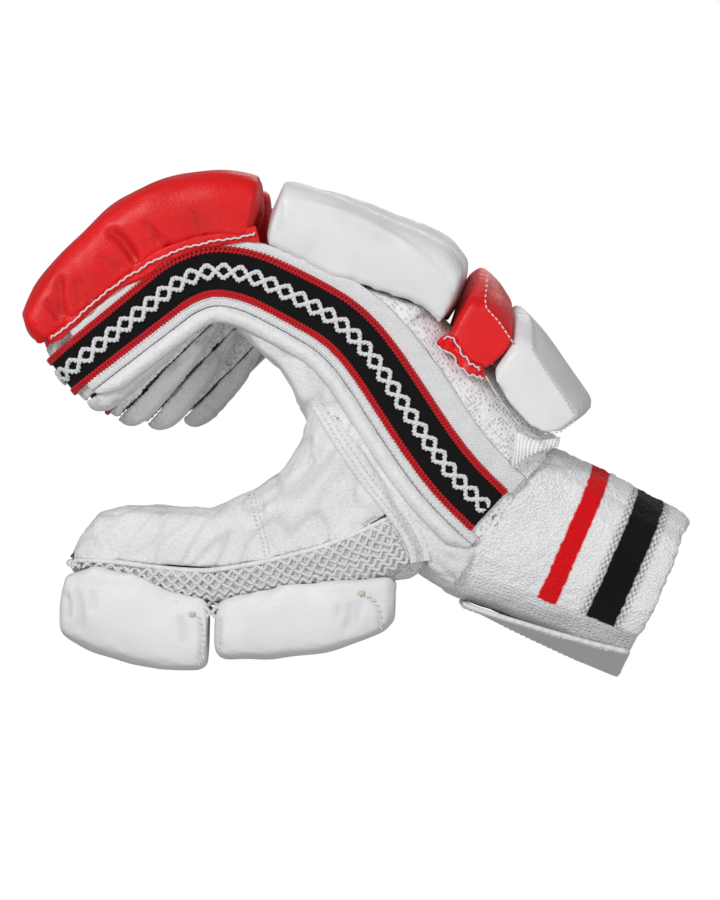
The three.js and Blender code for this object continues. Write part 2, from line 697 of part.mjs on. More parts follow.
// The strap lies against the underside of the cuff. It twists along its length, until its far
// edge is on the floor at the open end.
function strapForm() {
  const first = 1 - STRAP_LENGTH / CUFF_LENGTH;
  const far = STRAP_WIDTH - STRAP_FLARE;
  const rise = (slope) => strapTop(1, slope).z - STRAP_THICK + FLOOR_SINK;
  const lastSlope = rise(rise(0) / far) / far;
  const rings = STRAP_SECTIONS.map((row) => {
    const slope = lerp(Math.tan(STRAP_TILT * RADIANS), lastSlope, row.along);
    const top = strapTop(lerp(first, 1, row.along), slope);
    const edge = STRAP_THICK / 2;
    const place = (y, down) => top.clone().add(point(0, y, -y * slope - down));
    const [near, back] = [-STRAP_FLARE * row.wide, far * row.wide];
    return [
      place(near, edge),
      place(near + edge, 0),
      place(lerp(near, back, 0.35), 0),
      place(lerp(near, back, 0.7), 0),
      place(back - edge, 0),
      place(back, edge),
      place(back - edge, STRAP_THICK),
      place(near + edge, STRAP_THICK),
    ];
  });
  return loft(rings);
}

// All that lies under the floor, to trim what would sink into it.
function underFloor() {
  const reach = 400;
  const ring = (z) => [
    point(-reach, -reach, z),
    point(reach, -reach, z),
    point(reach, reach, z),
    point(-reach, reach, z),
  ];
  return loft([ring(-reach), ring(0)]);
}

const handClear = handForm(GAP);
const thumbClear = thumbForm(GAP, THUMB_LAP + GAP);
const floor = underFloor();
const fingers = FINGERS.map((row, index) => new Finger(row, index));

// The two parts of the hand: the leather palm, and the fabric back over the roll.
function addHand() {
  const hollow = handForm(-LEATHER, LEATHER * 2);
  const shell = handForm(0).subtract(hollow).subtract(thumbForm(-LEATHER, THUMB_LAP));
  const [back, palm] = partAtSeam(shell, (shift) =>
    overSeam(handSpine, HAND_LENGTH, SEAM_HEIGHT + shift, HALF_HAND * 2, 0)
  );
  addPiece("hand_back", back, knit);
  addPiece("palm_leather", palm, leather);
}

function addStall(finger) {
  const shell = finger.form(0, GAP).subtract(finger.form(-LEATHER, -LEATHER));
  const [back, under] = partAtSeam(shell, (shift) =>
    overSeam(finger.spine, finger.end + NOSE, SEAM_HEIGHT + shift, FINGER_WIDTH, finger.across)
  );
  addPiece(`${finger.name}_back`, back, knit);
  addPiece(`${finger.name}_leather`, under, leather);
}

// The tape goes round every finger's end, and on to the wrist along both sides of the hand.
function addTape(finger) {
  const side = { index: -1, little: 1 }[finger.name] ?? 0;
  const turns = side === 0 ? [36, 144] : [0, 130];
  const half = TAPE_WIDTH / 2;
  addPiece(`${finger.name}_tape`, finger.band(-half, half, TAPE_THICK, side, turns), tape);
  if (side === 0) return;
  const top = -half - GAP;
  const roll = finger.band(top - ROLL_WIDTH, top, ROLL_THICK, side, [0, 48]);
  addPiece(`${finger.name}_side_roll`, roll, leather);
}

// The white pad from the knuckle bar to the middle joint, and the red one over the fingertip.
function addFingerPads(finger) {
  const joint = finger.distance(WHITE_PAD_END);
  const tip = finger.end + NOSE + PAD_PROUD / 2;
  const stall = finger.form(GAP, -LEATHER);
  const rootLean = Math.tan(PAD_ROOT_LEAN * RADIANS);
  const white = finger.pad(PAD_ROOT, joint - PAD_SPACE / 2, rootLean, 0, WHITE_PAD_HEIGHTS);
  const red = finger.pad(joint + PAD_SPACE / 2, tip, 0, -0.15, RED_PAD_HEIGHTS);
  addPiece(`${finger.name}_pad`, mainBody(white.subtract(stall).subtract(handClear)), whitePad);
  addPiece(`${finger.name}_tip_pad`, mainBody(red.subtract(stall)), redPad);
}

// The back pad from the wrist, and the knuckle bar between it and the finger pads.
function addBlocks() {
  const barEnd = HAND_LENGTH + PAD_ROOT - PAD_SPACE;
  const barStart = barEnd - BAR_LENGTH;
  const backEnd = barStart - PAD_SPACE;
  const back = acrossBlock(BACK_PAD_START, backEnd, WRIST_SIDE_LEAN, BAR_LEAN, BACK_PAD_THICK);
  const bar = acrossBlock(barStart, barEnd, BAR_LEAN, PAD_ROOT_LEAN, BAR_THICK);
  addPiece("back_pad", mainBody(back.subtract(handClear)), whitePad);
  addPiece("knuckle_bar", mainBody(bar.subtract(handClear)), redPad);
}

function addThumb() {
  const shell = thumbForm(0, THUMB_LAP).subtract(thumbForm(-LEATHER, THUMB_LAP + LEATHER));
  const [over, under] = partAtSeam(shell.subtract(handClear), overThumbSeam);
  addPiece("thumb_leather", over, leather);
  addPiece("thumb_net", under, knit);
  for (const [name, rows] of [["thumb_tip_pad", THUMB_TIP_PAD], ["thumb_base_pad", THUMB_BASE_PAD]]) {
    const pad = thumbPad(rows).subtract(thumbClear).subtract(handClear).subtract(floor);
    addPiece(name, mainBody(pad), whitePad);
  }
}

// The welt runs round the near side of the thumb's root, where its panel laps over the hand.
function addPiping() {
  const ring = thumbRings(THUMB_LAP, (row, height, place) => {
    const clear = PIPING / 2 + GAP;
    const half = (THUMB_WIDTH / 2) * row.wide + clear;
    return sectionRing(16, place, half, -clear, height + clear, THUMB_BOXY);
  })[0];
  const across = thumbPoint(0, 0, THUMB_SECTIONS[0].aside).y;
  const near = ring.filter((corner) => corner.y < across - THUMB_WIDTH / 4);
  const curve = new THREE.CatmullRomCurve3(near.sort((a, b) => b.z - a.z));
  const circle = new THREE.Shape().absarc(0, 0, PIPING / 2, 0, 2 * Math.PI);
  const settings = { steps: 10, curveSegments: 4, bevelEnabled: false, extrudePath: curve };
  const tube = toSolid(new THREE.ExtrudeGeometry(circle, settings));
  addPiece("palm_piping", mainBody(tube.subtract(thumbClear).subtract(handClear)), leather);
}

function addCuff() {
  addPiece("wrist_cuff", cuffForm(0, 0).subtract(cuffForm(-TOWEL, TOWEL * 2)), towel);
  addPiece("wrist_strap", mainBody(strapForm().subtract(cuffForm(GAP, GAP)).subtract(floor)), smoothStrap);
}

addHand();
fingers.forEach(addStall);
fingers.forEach(addTape);
fingers.forEach(addFingerPads);
addBlocks();
addThumb();
addPiping();
addCuff();

// The glove is moved so that the origin lies under its middle.
const box = new THREE.Box3().setFromObject(glove);
const middle = box.getCenter(point(0, 0, 0));
glove.position.set(-middle.x, -middle.y, -box.min.z);

export default glove;
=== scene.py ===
"""The look of a cricket batting glove: leather, foam pads, taped finger sides and a towelling cuff.

Lengths in the tables are millimetres, in the frame of the solids. Blender's own are metres.
"""

import math

import bpy
import numpy as np
from mathutils import Matrix, Vector
from mathutils.bvhtree import BVHTree


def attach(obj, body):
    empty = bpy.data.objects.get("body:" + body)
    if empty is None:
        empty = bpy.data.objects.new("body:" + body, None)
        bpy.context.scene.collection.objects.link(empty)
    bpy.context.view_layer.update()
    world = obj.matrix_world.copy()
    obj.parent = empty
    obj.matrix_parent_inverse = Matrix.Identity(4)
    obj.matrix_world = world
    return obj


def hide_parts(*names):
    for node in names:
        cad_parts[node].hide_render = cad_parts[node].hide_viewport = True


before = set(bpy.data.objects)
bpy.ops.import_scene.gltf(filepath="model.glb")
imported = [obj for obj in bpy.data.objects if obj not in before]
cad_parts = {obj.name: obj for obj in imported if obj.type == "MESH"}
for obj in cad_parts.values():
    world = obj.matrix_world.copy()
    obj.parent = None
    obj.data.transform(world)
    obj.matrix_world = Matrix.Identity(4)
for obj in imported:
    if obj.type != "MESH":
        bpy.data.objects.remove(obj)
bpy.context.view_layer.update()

MM = 0.001
BODY = "root"

# The side view of the hand and its fingers, with the sizes of the solids
SHIFT = (3.701, 0.774)
WRIST = (50.5 + SHIFT[0], 60.3)
HAND_LENGTH = 80
BACK_ARCH = 7
HALF_HAND = 48.55
HALF_FINGER = 11.5
HALF_PITCH = 12.35
FINGER_TOP = 14
PROXIMAL = 65
DISTAL = 60
NOSE = 11
GAP = 0.3
TAPE_START = 6
HAND_TOP = 25.6
STEP = 0.25

HAND_BENDS = ((0, 0.2, 0.4, 0.6, 0.85, 1), (40, 43, 51, 55, 55, 51))
HAND_WIDTHS = ((0, 0.14, 0.36, 0.62, 1), (0.9, 0.95, 0.99, 1, 1))
BEND_PLACES = (0, 0.15, 0.35, 0.72, 0.97, 1.15, 1.35, 2)
FINGER_BENDS = (51, 43, 28, 23.5, 3, -22, -40, -40.5)
FINGER_CURLS = (0, 0, 0.1, 0.2, 0.45, 0.75, 1, 1)
TOPS = ((0, 0.2, 0.42, 2), (1.3, 1.15, 1, 1))
ROOTS = ((0, 0.2, 0.42), (1, 0.25, 0))

# Name, length as a share of the index finger's, rise, dip and curl
FINGERS = (
    ("index", 1, 0, 0, 0),
    ("middle", 0.98, 0.7, 4, 3),
    ("ring", 0.89, 0.6, 5, 4),
    ("little", 0.72, 0, 4, 3),
)


class Track:
    """The middle line of a finger's tape in the side view, from the wrist to the finger's end."""

    def __init__(self, length, rise, dip, curl, place):
        self.across = (2 * place - 3) * HALF_PITCH + SHIFT[1]
        self.proximal = PROXIMAL * length
        self.distal = DISTAL * length
        self.end = HAND_LENGTH + self.proximal + self.distal
        self.lift = rise * BACK_ARCH
        self.dip = dip
        self.curl = curl
        self.s = np.arange(0, self.end + STEP / 2, STEP)
        turn = np.radians(self.heading(self.s - STEP / 2))
        walk = np.stack([-np.cos(turn), np.sin(turn)], 1) * STEP
        walk[0] = 0
        self.turn = np.radians(self.heading(self.s))
        self.forward = np.stack([-np.cos(self.turn), np.sin(self.turn)], 1)
        self.normal = np.stack([np.sin(self.turn), np.cos(self.turn)], 1)
        on_hand = np.where(self.s <= HAND_LENGTH, 1.0, 0.0)[:, None]
        line = np.array(WRIST) + np.cumsum(walk, 0)
        root = self.normal[np.searchsorted(self.s, HAND_LENGTH)]
        self.line = line + self.lift * (on_hand * self.normal + (1 - on_hand) * root)

    def share(self, s):
        """How far along the finger: 0 at its root, 1 at its middle joint and 2 at its end."""
        s = np.asarray(s, float) - HAND_LENGTH
        return np.where(s < self.proximal, s / self.proximal, 1 + (s - self.proximal) / self.distal)

    def heading(self, s):
        """How far the line is turned up, in degrees."""
        along = self.share(s)
        bend = np.interp(along, BEND_PLACES, FINGER_BENDS)
        bend -= self.dip * np.clip(along * 4, 0, 1) + self.curl * np.interp(along, BEND_PLACES, FINGER_CURLS)
        return np.where(s < HAND_LENGTH, np.interp(np.asarray(s) / HAND_LENGTH, *HAND_BENDS), bend)

    def at(self, s, n):
        """Side-view places at distances along the line and heights over it."""
        s, n = np.broadcast_arrays(np.asarray(s, float), np.asarray(n, float))
        near = np.clip(np.rint(s / STEP).astype(int), 0, len(self.s) - 1)
        rest = (s - self.s[near])[..., None]
        return self.line[near] + rest * self.forward[near] + n[..., None] * self.normal[near]

    def locate(self, places):
        """The distance along and the height over the line of side-view places."""
        skip = 4
        gap = places[:, None, :] - self.line[None, ::skip, :]
        near = np.argmin((gap ** 2).sum(2), 1) * skip
        away = places - self.line[near]
        s = self.s[near] + (away * self.forward[near]).sum(1)
        return s, (away * self.normal[near]).sum(1)

    def top(self, s):
        """How high over the line the back of the hand and the finger is."""
        along = np.clip(self.share(s), 0, 2)
        arch = BACK_ARCH * (1 - ((self.across - SHIFT[1]) / HALF_HAND) ** 2)
        root = HAND_TOP + arch - self.lift
        mix = np.interp(along, *ROOTS)
        return FINGER_TOP * np.interp(along, *TOPS) * (1 - mix) + root * mix

    def side(self, s, n, out, side=-1):
        """Places on the side of the hand and the finger, and on round the finger's end."""
        s, n, out = np.broadcast_arrays(*(np.asarray(value, float) for value in (s, n, out)))
        round_end = np.clip((s - self.end) / HALF_FINGER, 0, None)
        flat = self.at(np.minimum(s, self.end), n)
        beyond = (NOSE + GAP + out) * np.sin(round_end)
        flat = flat + beyond[..., None] * self.forward[-1]
        on_hand = HALF_HAND * np.interp(s / HAND_LENGTH, *HAND_WIDTHS)
        from_middle = self.across - SHIFT[1]
        finger = abs(from_middle) + HALF_FINGER if side * from_middle > 0 else 0
        wall = np.where(s < HAND_LENGTH, on_hand, finger) + GAP + out
        y = SHIFT[1] + side * wall
        wrapped = self.across + side * (HALF_FINGER + GAP + out) * np.cos(round_end)
        y = np.where(s > self.end, wrapped, y)
        return np.stack([flat[..., 0], y, flat[..., 1]], -1)


tracks = {name: Track(*row, place) for place, (name, *row) in enumerate(FINGERS)}
index = tracks["index"]
little = tracks["little"]


# Working with meshes

# A closed form's end rings, as a share of their full size
CLOSED_END = 0.02
# The columns of a thread's mesh in a millimetre
THREAD_COLUMNS = 2.2
# How far a pad's cover is drawn in, and how long and with what settings it is blown up again
DRAWN_IN = 0.5
CLOTH_STEPS = 20
CLOTH = {"quality": 4, "mass": 0.2, "tension_stiffness": 12, "compression_stiffness": 12,
         "bending_stiffness": 0.6, "use_pressure": True, "uniform_pressure_force": 4,
         "vertex_group_mass": "held"}


def select_only(piece):
    bpy.ops.object.select_all(action="DESELECT")
    piece.select_set(True)
    bpy.context.view_layer.objects.active = piece


def in_edit(piece, step, **settings):
    """Runs a mesh tool on all of a piece."""
    select_only(piece)
    bpy.ops.object.mode_set(mode="EDIT")
    bpy.ops.mesh.select_all(action="SELECT")
    step(**settings)
    bpy.ops.object.mode_set(mode="OBJECT")


def face_out(piece):
    in_edit(piece, bpy.ops.mesh.normals_make_consistent, inside=False)


def merged(piece, reach):
    in_edit(piece, bpy.ops.mesh.remove_doubles, threshold=reach)


def face_side(piece, side):
    """Turns a sheet's faces over where most of them look away from a side."""
    if normals_of(piece)[:, 1].mean() * side < 0:
        in_edit(piece, bpy.ops.mesh.flip_normals)


def read_corners(piece, what):
    flat = np.empty(len(piece.data.vertices) * 3, np.float32)
    piece.data.vertices.foreach_get(what, flat)
    return flat.reshape(-1, 3).astype(float)


def places_of(piece):
    return read_corners(piece, "co") / MM


def normals_of(piece):
    return read_corners(piece, "normal")


def put_places(piece, places):
    piece.data.vertices.foreach_set("co", (places * MM).astype(np.float32).ravel())
    piece.data.update()


def apply(piece, kind, **settings):
    select_only(piece)
    modifier = piece.modifiers.new(kind.title(), kind)
    for name, value in settings.items():
        setattr(modifier, name, value)
    bpy.ops.object.modifier_apply(modifier=modifier.name)


def smooth_shade(piece):
    select_only(piece)
    bpy.ops.object.shade_smooth()


def copied(name, *nodes):
    """A copy of the meshes of solids, joined, with their corners merged."""
    copies = [bpy.data.objects.new(name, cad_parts[node].data.copy()) for node in nodes]
    for piece in copies:
        bpy.context.scene.collection.objects.link(piece)
        piece.data.materials.clear()
    piece = copies[0]
    select_only(piece)
    for other in copies[1:]:
        other.select_set(True)
    if len(copies) > 1:
        bpy.ops.object.join()
    merged(piece, 1e-6)
    return piece


def remeshed(piece, size, smooth):
    """Gives a piece an even mesh of small faces, and smooths its edges."""
    select_only(piece)
    piece.data.remesh_voxel_size = size * MM
    piece.data.remesh_voxel_adaptivity = 0
    piece.data.use_remesh_fix_poles = False
    piece.data.use_remesh_preserve_volume = False
    bpy.ops.object.voxel_remesh()
    apply(piece, "SMOOTH", factor=0.5, iterations=smooth)


def pressed(piece, cap, held):
    """Draws a padded piece in a little and inflates it as cloth under pressure, with a cap on how
    far it moves. held picks what stays where it is."""
    normals = normals_of(piece)
    put_places(piece, places_of(piece) - normals * (DRAWN_IN * (1 - held))[:, None])
    shrunk = places_of(piece)
    group = piece.vertex_groups.new(name="held")
    for i in np.nonzero(held > 0.5)[0]:
        group.add([int(i)], 1.0, "REPLACE")
    select_only(piece)
    cloth = piece.modifiers.new("Cloth", "CLOTH")
    for name, value in CLOTH.items():
        setattr(cloth.settings, name, value)
    cloth.settings.effector_weights.gravity = 0
    for step in range(1, CLOTH_STEPS + 1):
        bpy.context.scene.frame_set(step)
    bpy.ops.object.modifier_apply(modifier="Cloth")
    bpy.context.scene.frame_set(1)
    piece.vertex_groups.clear()
    move = places_of(piece) - shrunk
    size = np.linalg.norm(move, axis=1, keepdims=True)
    put_places(piece, shrunk + move * np.minimum(1, cap / np.maximum(size, 1e-6)))


def grid(name, columns, rows, place, closed=False):
    """A sheet made from a grid. place turns shares along and across it, 0 to 1, into places."""
    bpy.ops.object.select_all(action="DESELECT")
    bpy.ops.mesh.primitive_grid_add(x_subdivisions=columns, y_subdivisions=rows, size=1)
    piece = bpy.context.object
    piece.name = name
    piece.data.name = name
    flat = places_of(piece) * MM
    put_places(piece, place(flat[:, 0] + 0.5, flat[:, 1] + 0.5))
    if closed:
        merged(piece, 2e-6)
    smooth_shade(piece)
    return piece


def shares(count):
    return np.linspace(0, 1, count + 1)


def tube(name, centre, radius, columns, sides):
    """A cord along centre(share), closed at both ends."""
    line = centre(shares(columns))
    forward = np.gradient(line, axis=0)
    forward /= np.linalg.norm(forward, axis=1, keepdims=True)
    aside = np.cross(forward, (0, 1.0, 0))
    aside /= np.maximum(np.linalg.norm(aside, axis=1, keepdims=True), 1e-9)
    other = np.cross(forward, aside)

    def place(u, v):
        i = np.rint(u * columns).astype(int)
        turn = 2 * math.pi * v
        size = radius * np.where((i == 0) | (i == columns), CLOSED_END, 1)
        ring = aside[i] * np.cos(turn)[:, None] + other[i] * np.sin(turn)[:, None]
        return line[i] + ring * size[:, None]

    piece = grid(name, columns, sides, place, closed=True)
    face_out(piece)
    return piece


def many(name, model, moves):
    """One mesh of many copies of a small one. Each move is a 3x3 turn and a place."""
    corners = places_of(model)
    faces = [tuple(face.vertices) for face in model.data.polygons]
    bpy.data.objects.remove(model)
    mesh = bpy.data.meshes.new(name)
    places = np.concatenate([corners @ np.array(turn).T + place for turn, place in moves])
    count = len(corners)
    made = [tuple(k + i * count for k in face) for i in range(len(moves)) for face in faces]
    mesh.from_pydata((places * MM).tolist(), [], made)
    piece = bpy.data.objects.new(name, mesh)
    bpy.context.scene.collection.objects.link(piece)
    smooth_shade(piece)
    return piece


def stitch(length, radius, sides):
    """One stitch of thread, lying along X with its top towards Z."""
    bpy.ops.object.select_all(action="DESELECT")
    bpy.ops.mesh.primitive_uv_sphere_add(segments=sides, ring_count=5, radius=radius * MM)
    piece = bpy.context.object
    places = places_of(piece)[:, [2, 1, 0]] * (-1, 1, 1)
    at_end = np.abs(places[:, 0]) > 0.3 * radius
    places[:, 0] += np.sign(places[:, 0]) * (length / 2 - radius) * at_end
    put_places(piece, places)
    face_out(piece)
    return piece


def turned(along, up):
    """A turn whose X runs along a direction and whose Z points as far up as it can."""
    x = along / np.linalg.norm(along)
    y = np.cross(up, x)
    y /= np.linalg.norm(y)
    return np.stack([x, y, np.cross(x, y)], 1)


def curve(points, ease=0.03):
    """A line through points, rounded a little at each of them: a function that gives the places at
    shares of the line."""
    points = np.array(points, float)
    steps = np.linalg.norm(np.diff(points, axis=0), axis=1)
    share = np.concatenate([[0], np.cumsum(steps)]) / steps.sum()

    def at(t):
        t = np.asarray(t, float)
        spread = np.minimum(ease, np.minimum(t, 1 - t).clip(0))
        total = 0
        for d in np.linspace(-1, 1, 7):
            total = total + np.stack([np.interp(t + d * spread, share, row) for row in points.T], -1)
        return total / 7

    at.length = steps.sum()
    return at


def shifted(points, aside):
    """A side-view line moved to its right by a distance, or by one at each of its points."""
    points = np.array(points, float)
    ahead = np.gradient(points, axis=0)
    ahead /= np.linalg.norm(ahead, axis=1, keepdims=True)
    return points + np.stack([ahead[:, 1], -ahead[:, 0]], 1) * np.reshape(aside, (-1, 1))


def near_line(places, line):
    """How far side-view places lie from a line, and the share of the line at which each is nearest."""
    line = np.array(line, float)
    lengths = np.linalg.norm(np.diff(line, axis=0), axis=1)
    before = np.concatenate([[0], np.cumsum(lengths)])
    best = np.full(len(places), 1e9)
    share = np.zeros(len(places))
    for i, length in enumerate(lengths):
        way = (line[i + 1] - line[i]) / length
        k = np.clip((places - line[i]) @ way, 0, length)
        away = np.linalg.norm(places - line[i] - k[:, None] * way, axis=1)
        nearer = away < best
        best = np.where(nearer, away, best)
        share = np.where(nearer, (before[i] + k) / before[-1], share)
    return best, share


# The depth at which a fold's painted shade would be full, and how dark the painted shade may get
CREASE_PAINTED_SHADE = (4, 0.3)
PUCKER_PAINTED_SHADE = (5, 0.25)


def creased(*lines, side=-1):
    """Folds along side-view lines, each with a depth and a width, and the painted shade that they leave in
    the colour. A ridge has a negative depth.
    """
    def crease(piece):
        places, normals = places_of(piece), normals_of(piece)
        facing = np.clip(side * normals[:, 1] * 3, 0, 1)
        depth = np.zeros(len(places))
        for line, deep, wide in lines:
            away, share = near_line(places[:, [0, 2]], line)
            fade = np.clip(np.minimum(share, 1 - share) * 5, 0, 1)
            depth += facing * fade * deep * np.exp(-(away / wide) ** 2)
        put_places(piece, places - normals * depth[:, None])
        # Painted shade: how far the colour darkens in each fold
        return np.clip(depth / CREASE_PAINTED_SHADE[0], 0, CREASE_PAINTED_SHADE[1])

    return crease


def surface_of(*pieces):
    """What rays are cast at, for things to be laid on."""
    corners, faces = [], []
    for piece in pieces:
        count = len(corners)
        corners.extend(places_of(piece).tolist())
        faces.extend([k + count for k in face.vertices] for face in piece.data.polygons)
    return BVHTree.FromPolygons(corners, faces)


# Where rays towards the near and the far side start. The thumb's far side faces the inside of the
# palm, so rays at it start inside the thumb
RAY_STARTS = {-1: -400, 1: -1}
NEAREST_START = -60


def draped(surface, flat, out, side=-1, spread=1.2):
    """Side-view places laid on a surface from one side, over the narrow grooves in it."""
    start = RAY_STARTS[side]
    flat = np.asarray(flat, float)
    depths = []
    for x, z in flat:
        hits = []
        for dx, dz in ((0, 0), (0, spread), (0, -spread), (spread, 0), (-spread, 0)):
            hit = surface.ray_cast(Vector((x + dx, start, z + dz)), Vector((0, -side, 0)))[0]
            if hit is None:
                hit = surface.find_nearest(Vector((x + dx, max(start, NEAREST_START), z + dz)))[0]
            hits.append(side * hit[1])
        depths.append(sorted(hits)[-2])
    return np.stack([flat[:, 0], side * (np.array(depths) + out), flat[:, 1]], 1)


def cord_on(name, surface, points, radius, out, material, slot, side, sides=6, sway=0, pitch=4):
    """A cord that lies on a surface along a side-view line, swaying from side to side."""
    line = curve(points)
    count = int(line.length * (2.6 if sway else 0.9))

    def centre(t):
        flat = shifted(line(t), sway * np.sin(2 * math.pi * t * line.length / pitch))
        places = draped(surface, flat, out, side)
        kernel = np.array((1, 2, 3, 2, 1)) / 9
        places[:, 1] = np.convolve(np.pad(places[:, 1], 2, mode="edge"), kernel, "valid")
        return places

    finish(tube(name, centre, radius, count, sides), material, slot)


def stitches_on(name, surface, points, pitch, length, radius, out, slot, side=-1, slant=0.0, aside=0.0):
    """A row of white stitches on a surface along a side-view line. A slanted row's lean across it."""
    line = curve(points)
    share = np.arange(0.3, line.length / pitch - 0.2) * pitch / line.length
    flat = line(share)
    ahead = line(np.minimum(share + 0.3 / line.length, 1)) - line(share)
    right = np.stack([ahead[:, 1], -ahead[:, 0]], 1) / np.linalg.norm(ahead, axis=1, keepdims=True)
    flat = flat + right * aside
    places = draped(surface, flat, out, side)
    moves = []
    for place, (x, z) in zip(places, ahead):
        turn = math.atan2(z, x) + slant
        along = np.array((math.cos(turn), 0, math.sin(turn)))
        moves.append((turned(along, np.array((0, float(side), 0))), place))
    finish(many(name, stitch(length, radius, 6), moves), white_thread, slot)


def waves(places, size, seed, count=14):
    """Smooth unevenness, about -1 to 1: a seeded mix of waves around one size."""
    random = np.random.default_rng(seed)
    total = np.zeros(len(places))
    for _ in range(count):
        way = random.normal(size=places.shape[1])
        way *= 2 * math.pi / (size * random.uniform(0.7, 1.5) * np.linalg.norm(way))
        total += np.sin(places @ way + random.uniform(0, 2 * math.pi))
    return total / math.sqrt(count / 2) * 0.5


def path_uv(piece, along, up, turn=None):
    """A UV map named path, in millimetres, from a value along and a value across each corner. Where the
    one across runs round the piece, turn is its whole way round."""
    layer = piece.data.uv_layers.new(name="path")
    loops = np.empty(len(piece.data.loops), np.int32)
    piece.data.loops.foreach_get("vertex_index", loops)
    across = up[loops]
    if turn:
        for face in piece.data.polygons:
            some = slice(face.loop_start, face.loop_start + face.loop_total)
            if np.ptp(across[some]) > turn / 2:
                across[some] = np.where(across[some] < 0, across[some] + turn, across[some])
    layer.data.foreach_set("uv", np.stack([along[loops], across], 1).astype(np.float32).ravel())


def shade_map(piece, values=0):
    """An attribute that materials read as painted shade: how deep in a fold or a seam each corner lies."""
    attribute = piece.data.attributes.new("fold", "FLOAT", "POINT")
    everywhere = np.zeros(len(piece.data.vertices)) + values
    attribute.data.foreach_set("value", everywhere.astype(np.float32))


def finish(piece, material, slot, *nodes):
    """Gives a piece its material and its body, and hides the solids that it stands for. The slot is not used.
    """
    piece.data.materials.clear()
    piece.data.materials.append(material)
    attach(piece, BODY)
    if nodes:
        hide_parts(*nodes)
    return piece


# Materials

class Finish:
    """A material and the few node chains that the finishes here are made of."""

    def __init__(self, name, colour, roughness, **sockets):
        self.material = bpy.data.materials.new(name)
        self.material.use_nodes = True
        self.nodes = self.material.node_tree.nodes
        self.links = self.material.node_tree.links
        self.shader = self.nodes["Principled BSDF"]
        self.shader.inputs["Base Color"].default_value = (*colour, 1)
        self.shader.inputs["Roughness"].default_value = roughness
        for name, value in sockets.items():
            self.shader.inputs[name.replace("_", " ")].default_value = value
        self.relief = None

    def node(self, kind, inputs=(), **settings):
        """A new node. Each input is a value, or another node's output to link."""
        node = self.nodes.new("ShaderNode" + kind)
        for name, value in settings.items():
            setattr(node, name, value)
        for name, value in dict(inputs).items():
            if isinstance(value, bpy.types.NodeSocket):
                self.links.new(value, node.inputs[name])
            else:
                node.inputs[name].default_value = value
        return node

    def place(self, scale=(1, 1, 1), uv=None, turn=(0, 0, 0)):
        """Where a point is: in metres in the piece, or in millimetres along and across its path."""
        if uv:
            source = self.node("UVMap", uv_map=uv).outputs["UV"]
        else:
            source = self.node("TexCoord").outputs["Object"]
        inputs = {"Vector": source, "Scale": scale, "Rotation": turn}
        return self.node("Mapping", inputs).outputs["Vector"]

    def noise(self, where, scale, detail=3.0, rough=0.5):
        inputs = {"Vector": where, "Scale": scale, "Detail": detail, "Roughness": rough}
        return self.node("TexNoise", inputs).outputs["Fac"]

    def cells(self, where, scale, feature="F1", randomness=1.0):
        inputs = {"Vector": where, "Scale": scale, "Randomness": randomness}
        return self.node("TexVoronoi", inputs, feature=feature).outputs["Distance"]

    def stripes(self, where, scale, distortion=0.0, direction="X"):
        inputs = {"Vector": where, "Scale": scale, "Distortion": distortion}
        node = self.node("TexWave", inputs, bands_direction=direction, wave_profile="SIN")
        return node.outputs["Fac"]

    def sum(self, operation, *values):
        """The result of a maths operation."""
        return self.node("Math", dict(enumerate(values)), operation=operation).outputs[0]

    def between(self, value, low, high, to_low=0.0, to_high=1.0):
        inputs = {"Value": value, "From Min": low, "From Max": high, "To Min": to_low, "To Max": to_high}
        return self.node("MapRange", inputs).outputs["Result"]

    def mix(self, share, a, b):
        """A colour between two, each a tuple or another node's output."""
        a, b = (end if isinstance(end, bpy.types.NodeSocket) else (*end, 1) for end in (a, b))
        return self.node("Mix", {0: share, 6: a, 7: b}, data_type="RGBA").outputs[2]

    def fold(self):
        """How much painted shade shade_map leaves at a point."""
        return self.node("Attribute", attribute_name="fold").outputs["Fac"]

    def colour(self, value):
        self.links.new(value, self.shader.inputs["Base Color"])

    def rough(self, value):
        self.links.new(value, self.shader.inputs["Roughness"])

    def bump(self, height, depth, strength=1.0):
        inputs = {"Height": height, "Distance": depth * MM, "Strength": strength}
        if self.relief:
            inputs["Normal"] = self.relief
        self.relief = self.node("Bump", inputs).outputs["Normal"]
        self.links.new(self.relief, self.shader.inputs["Normal"])


def smooth_leather(name, colour, deep, worn, roughness):
    """The smooth coated leather of the pads, with painted shade in its puckers and folds."""
    made = Finish(name, colour, roughness, Specular_IOR_Level=0.32, Coat_Weight=0.04, Coat_Roughness=0.3)
    where = made.place()
    cloud = made.noise(where, 45, 4)
    tone = made.mix(made.between(cloud, 0.35, 0.7), colour, worn)
    # Painted shade: the colour darkens towards deep in folds and puckers
    made.colour(made.mix(made.fold(), tone, deep))
    made.rough(made.between(made.noise(where, 220, 3), 0.3, 0.7, roughness - 0.06, roughness + 0.1))
    made.bump(made.noise(where, 110, 5, 0.55), 0.5, 0.4)
    made.bump(made.cells(where, 1100), 0.12, 0.7)
    return made.material


def grain_leather(name, colour, deep, roughness):
    """Pebbled leather, with fine creases, and painted shade in its folds."""
    made = Finish(name, colour, roughness, Specular_IOR_Level=0.35, Sheen_Weight=0.08, Sheen_Roughness=0.5)
    where = made.place()
    cloud = made.noise(where, 60, 4)
    tone = made.mix(made.between(cloud, 0.3, 0.75), colour, tuple(0.93 * c for c in colour))
    pebble = made.cells(where, 1150, "SMOOTH_F1")
    grain = made.mix(made.between(pebble, 0.25, 0.75, 0, 0.28), tone, deep)
    # Painted shade: the colour darkens towards deep in folds; deep also tints the pebble grain
    made.colour(made.mix(made.fold(), grain, deep))
    made.rough(made.between(cloud, 0.2, 0.8, roughness - 0.08, roughness + 0.12))
    made.bump(made.noise(where, 170, 5, 0.6), 0.55, 0.5)
    made.bump(made.cells(made.place((1, 1, 0.45), turn=(0.2, 0.6, 0)), 420), 0.3, 0.6)
    made.bump(pebble, 0.26, 0.9)
    return made.material


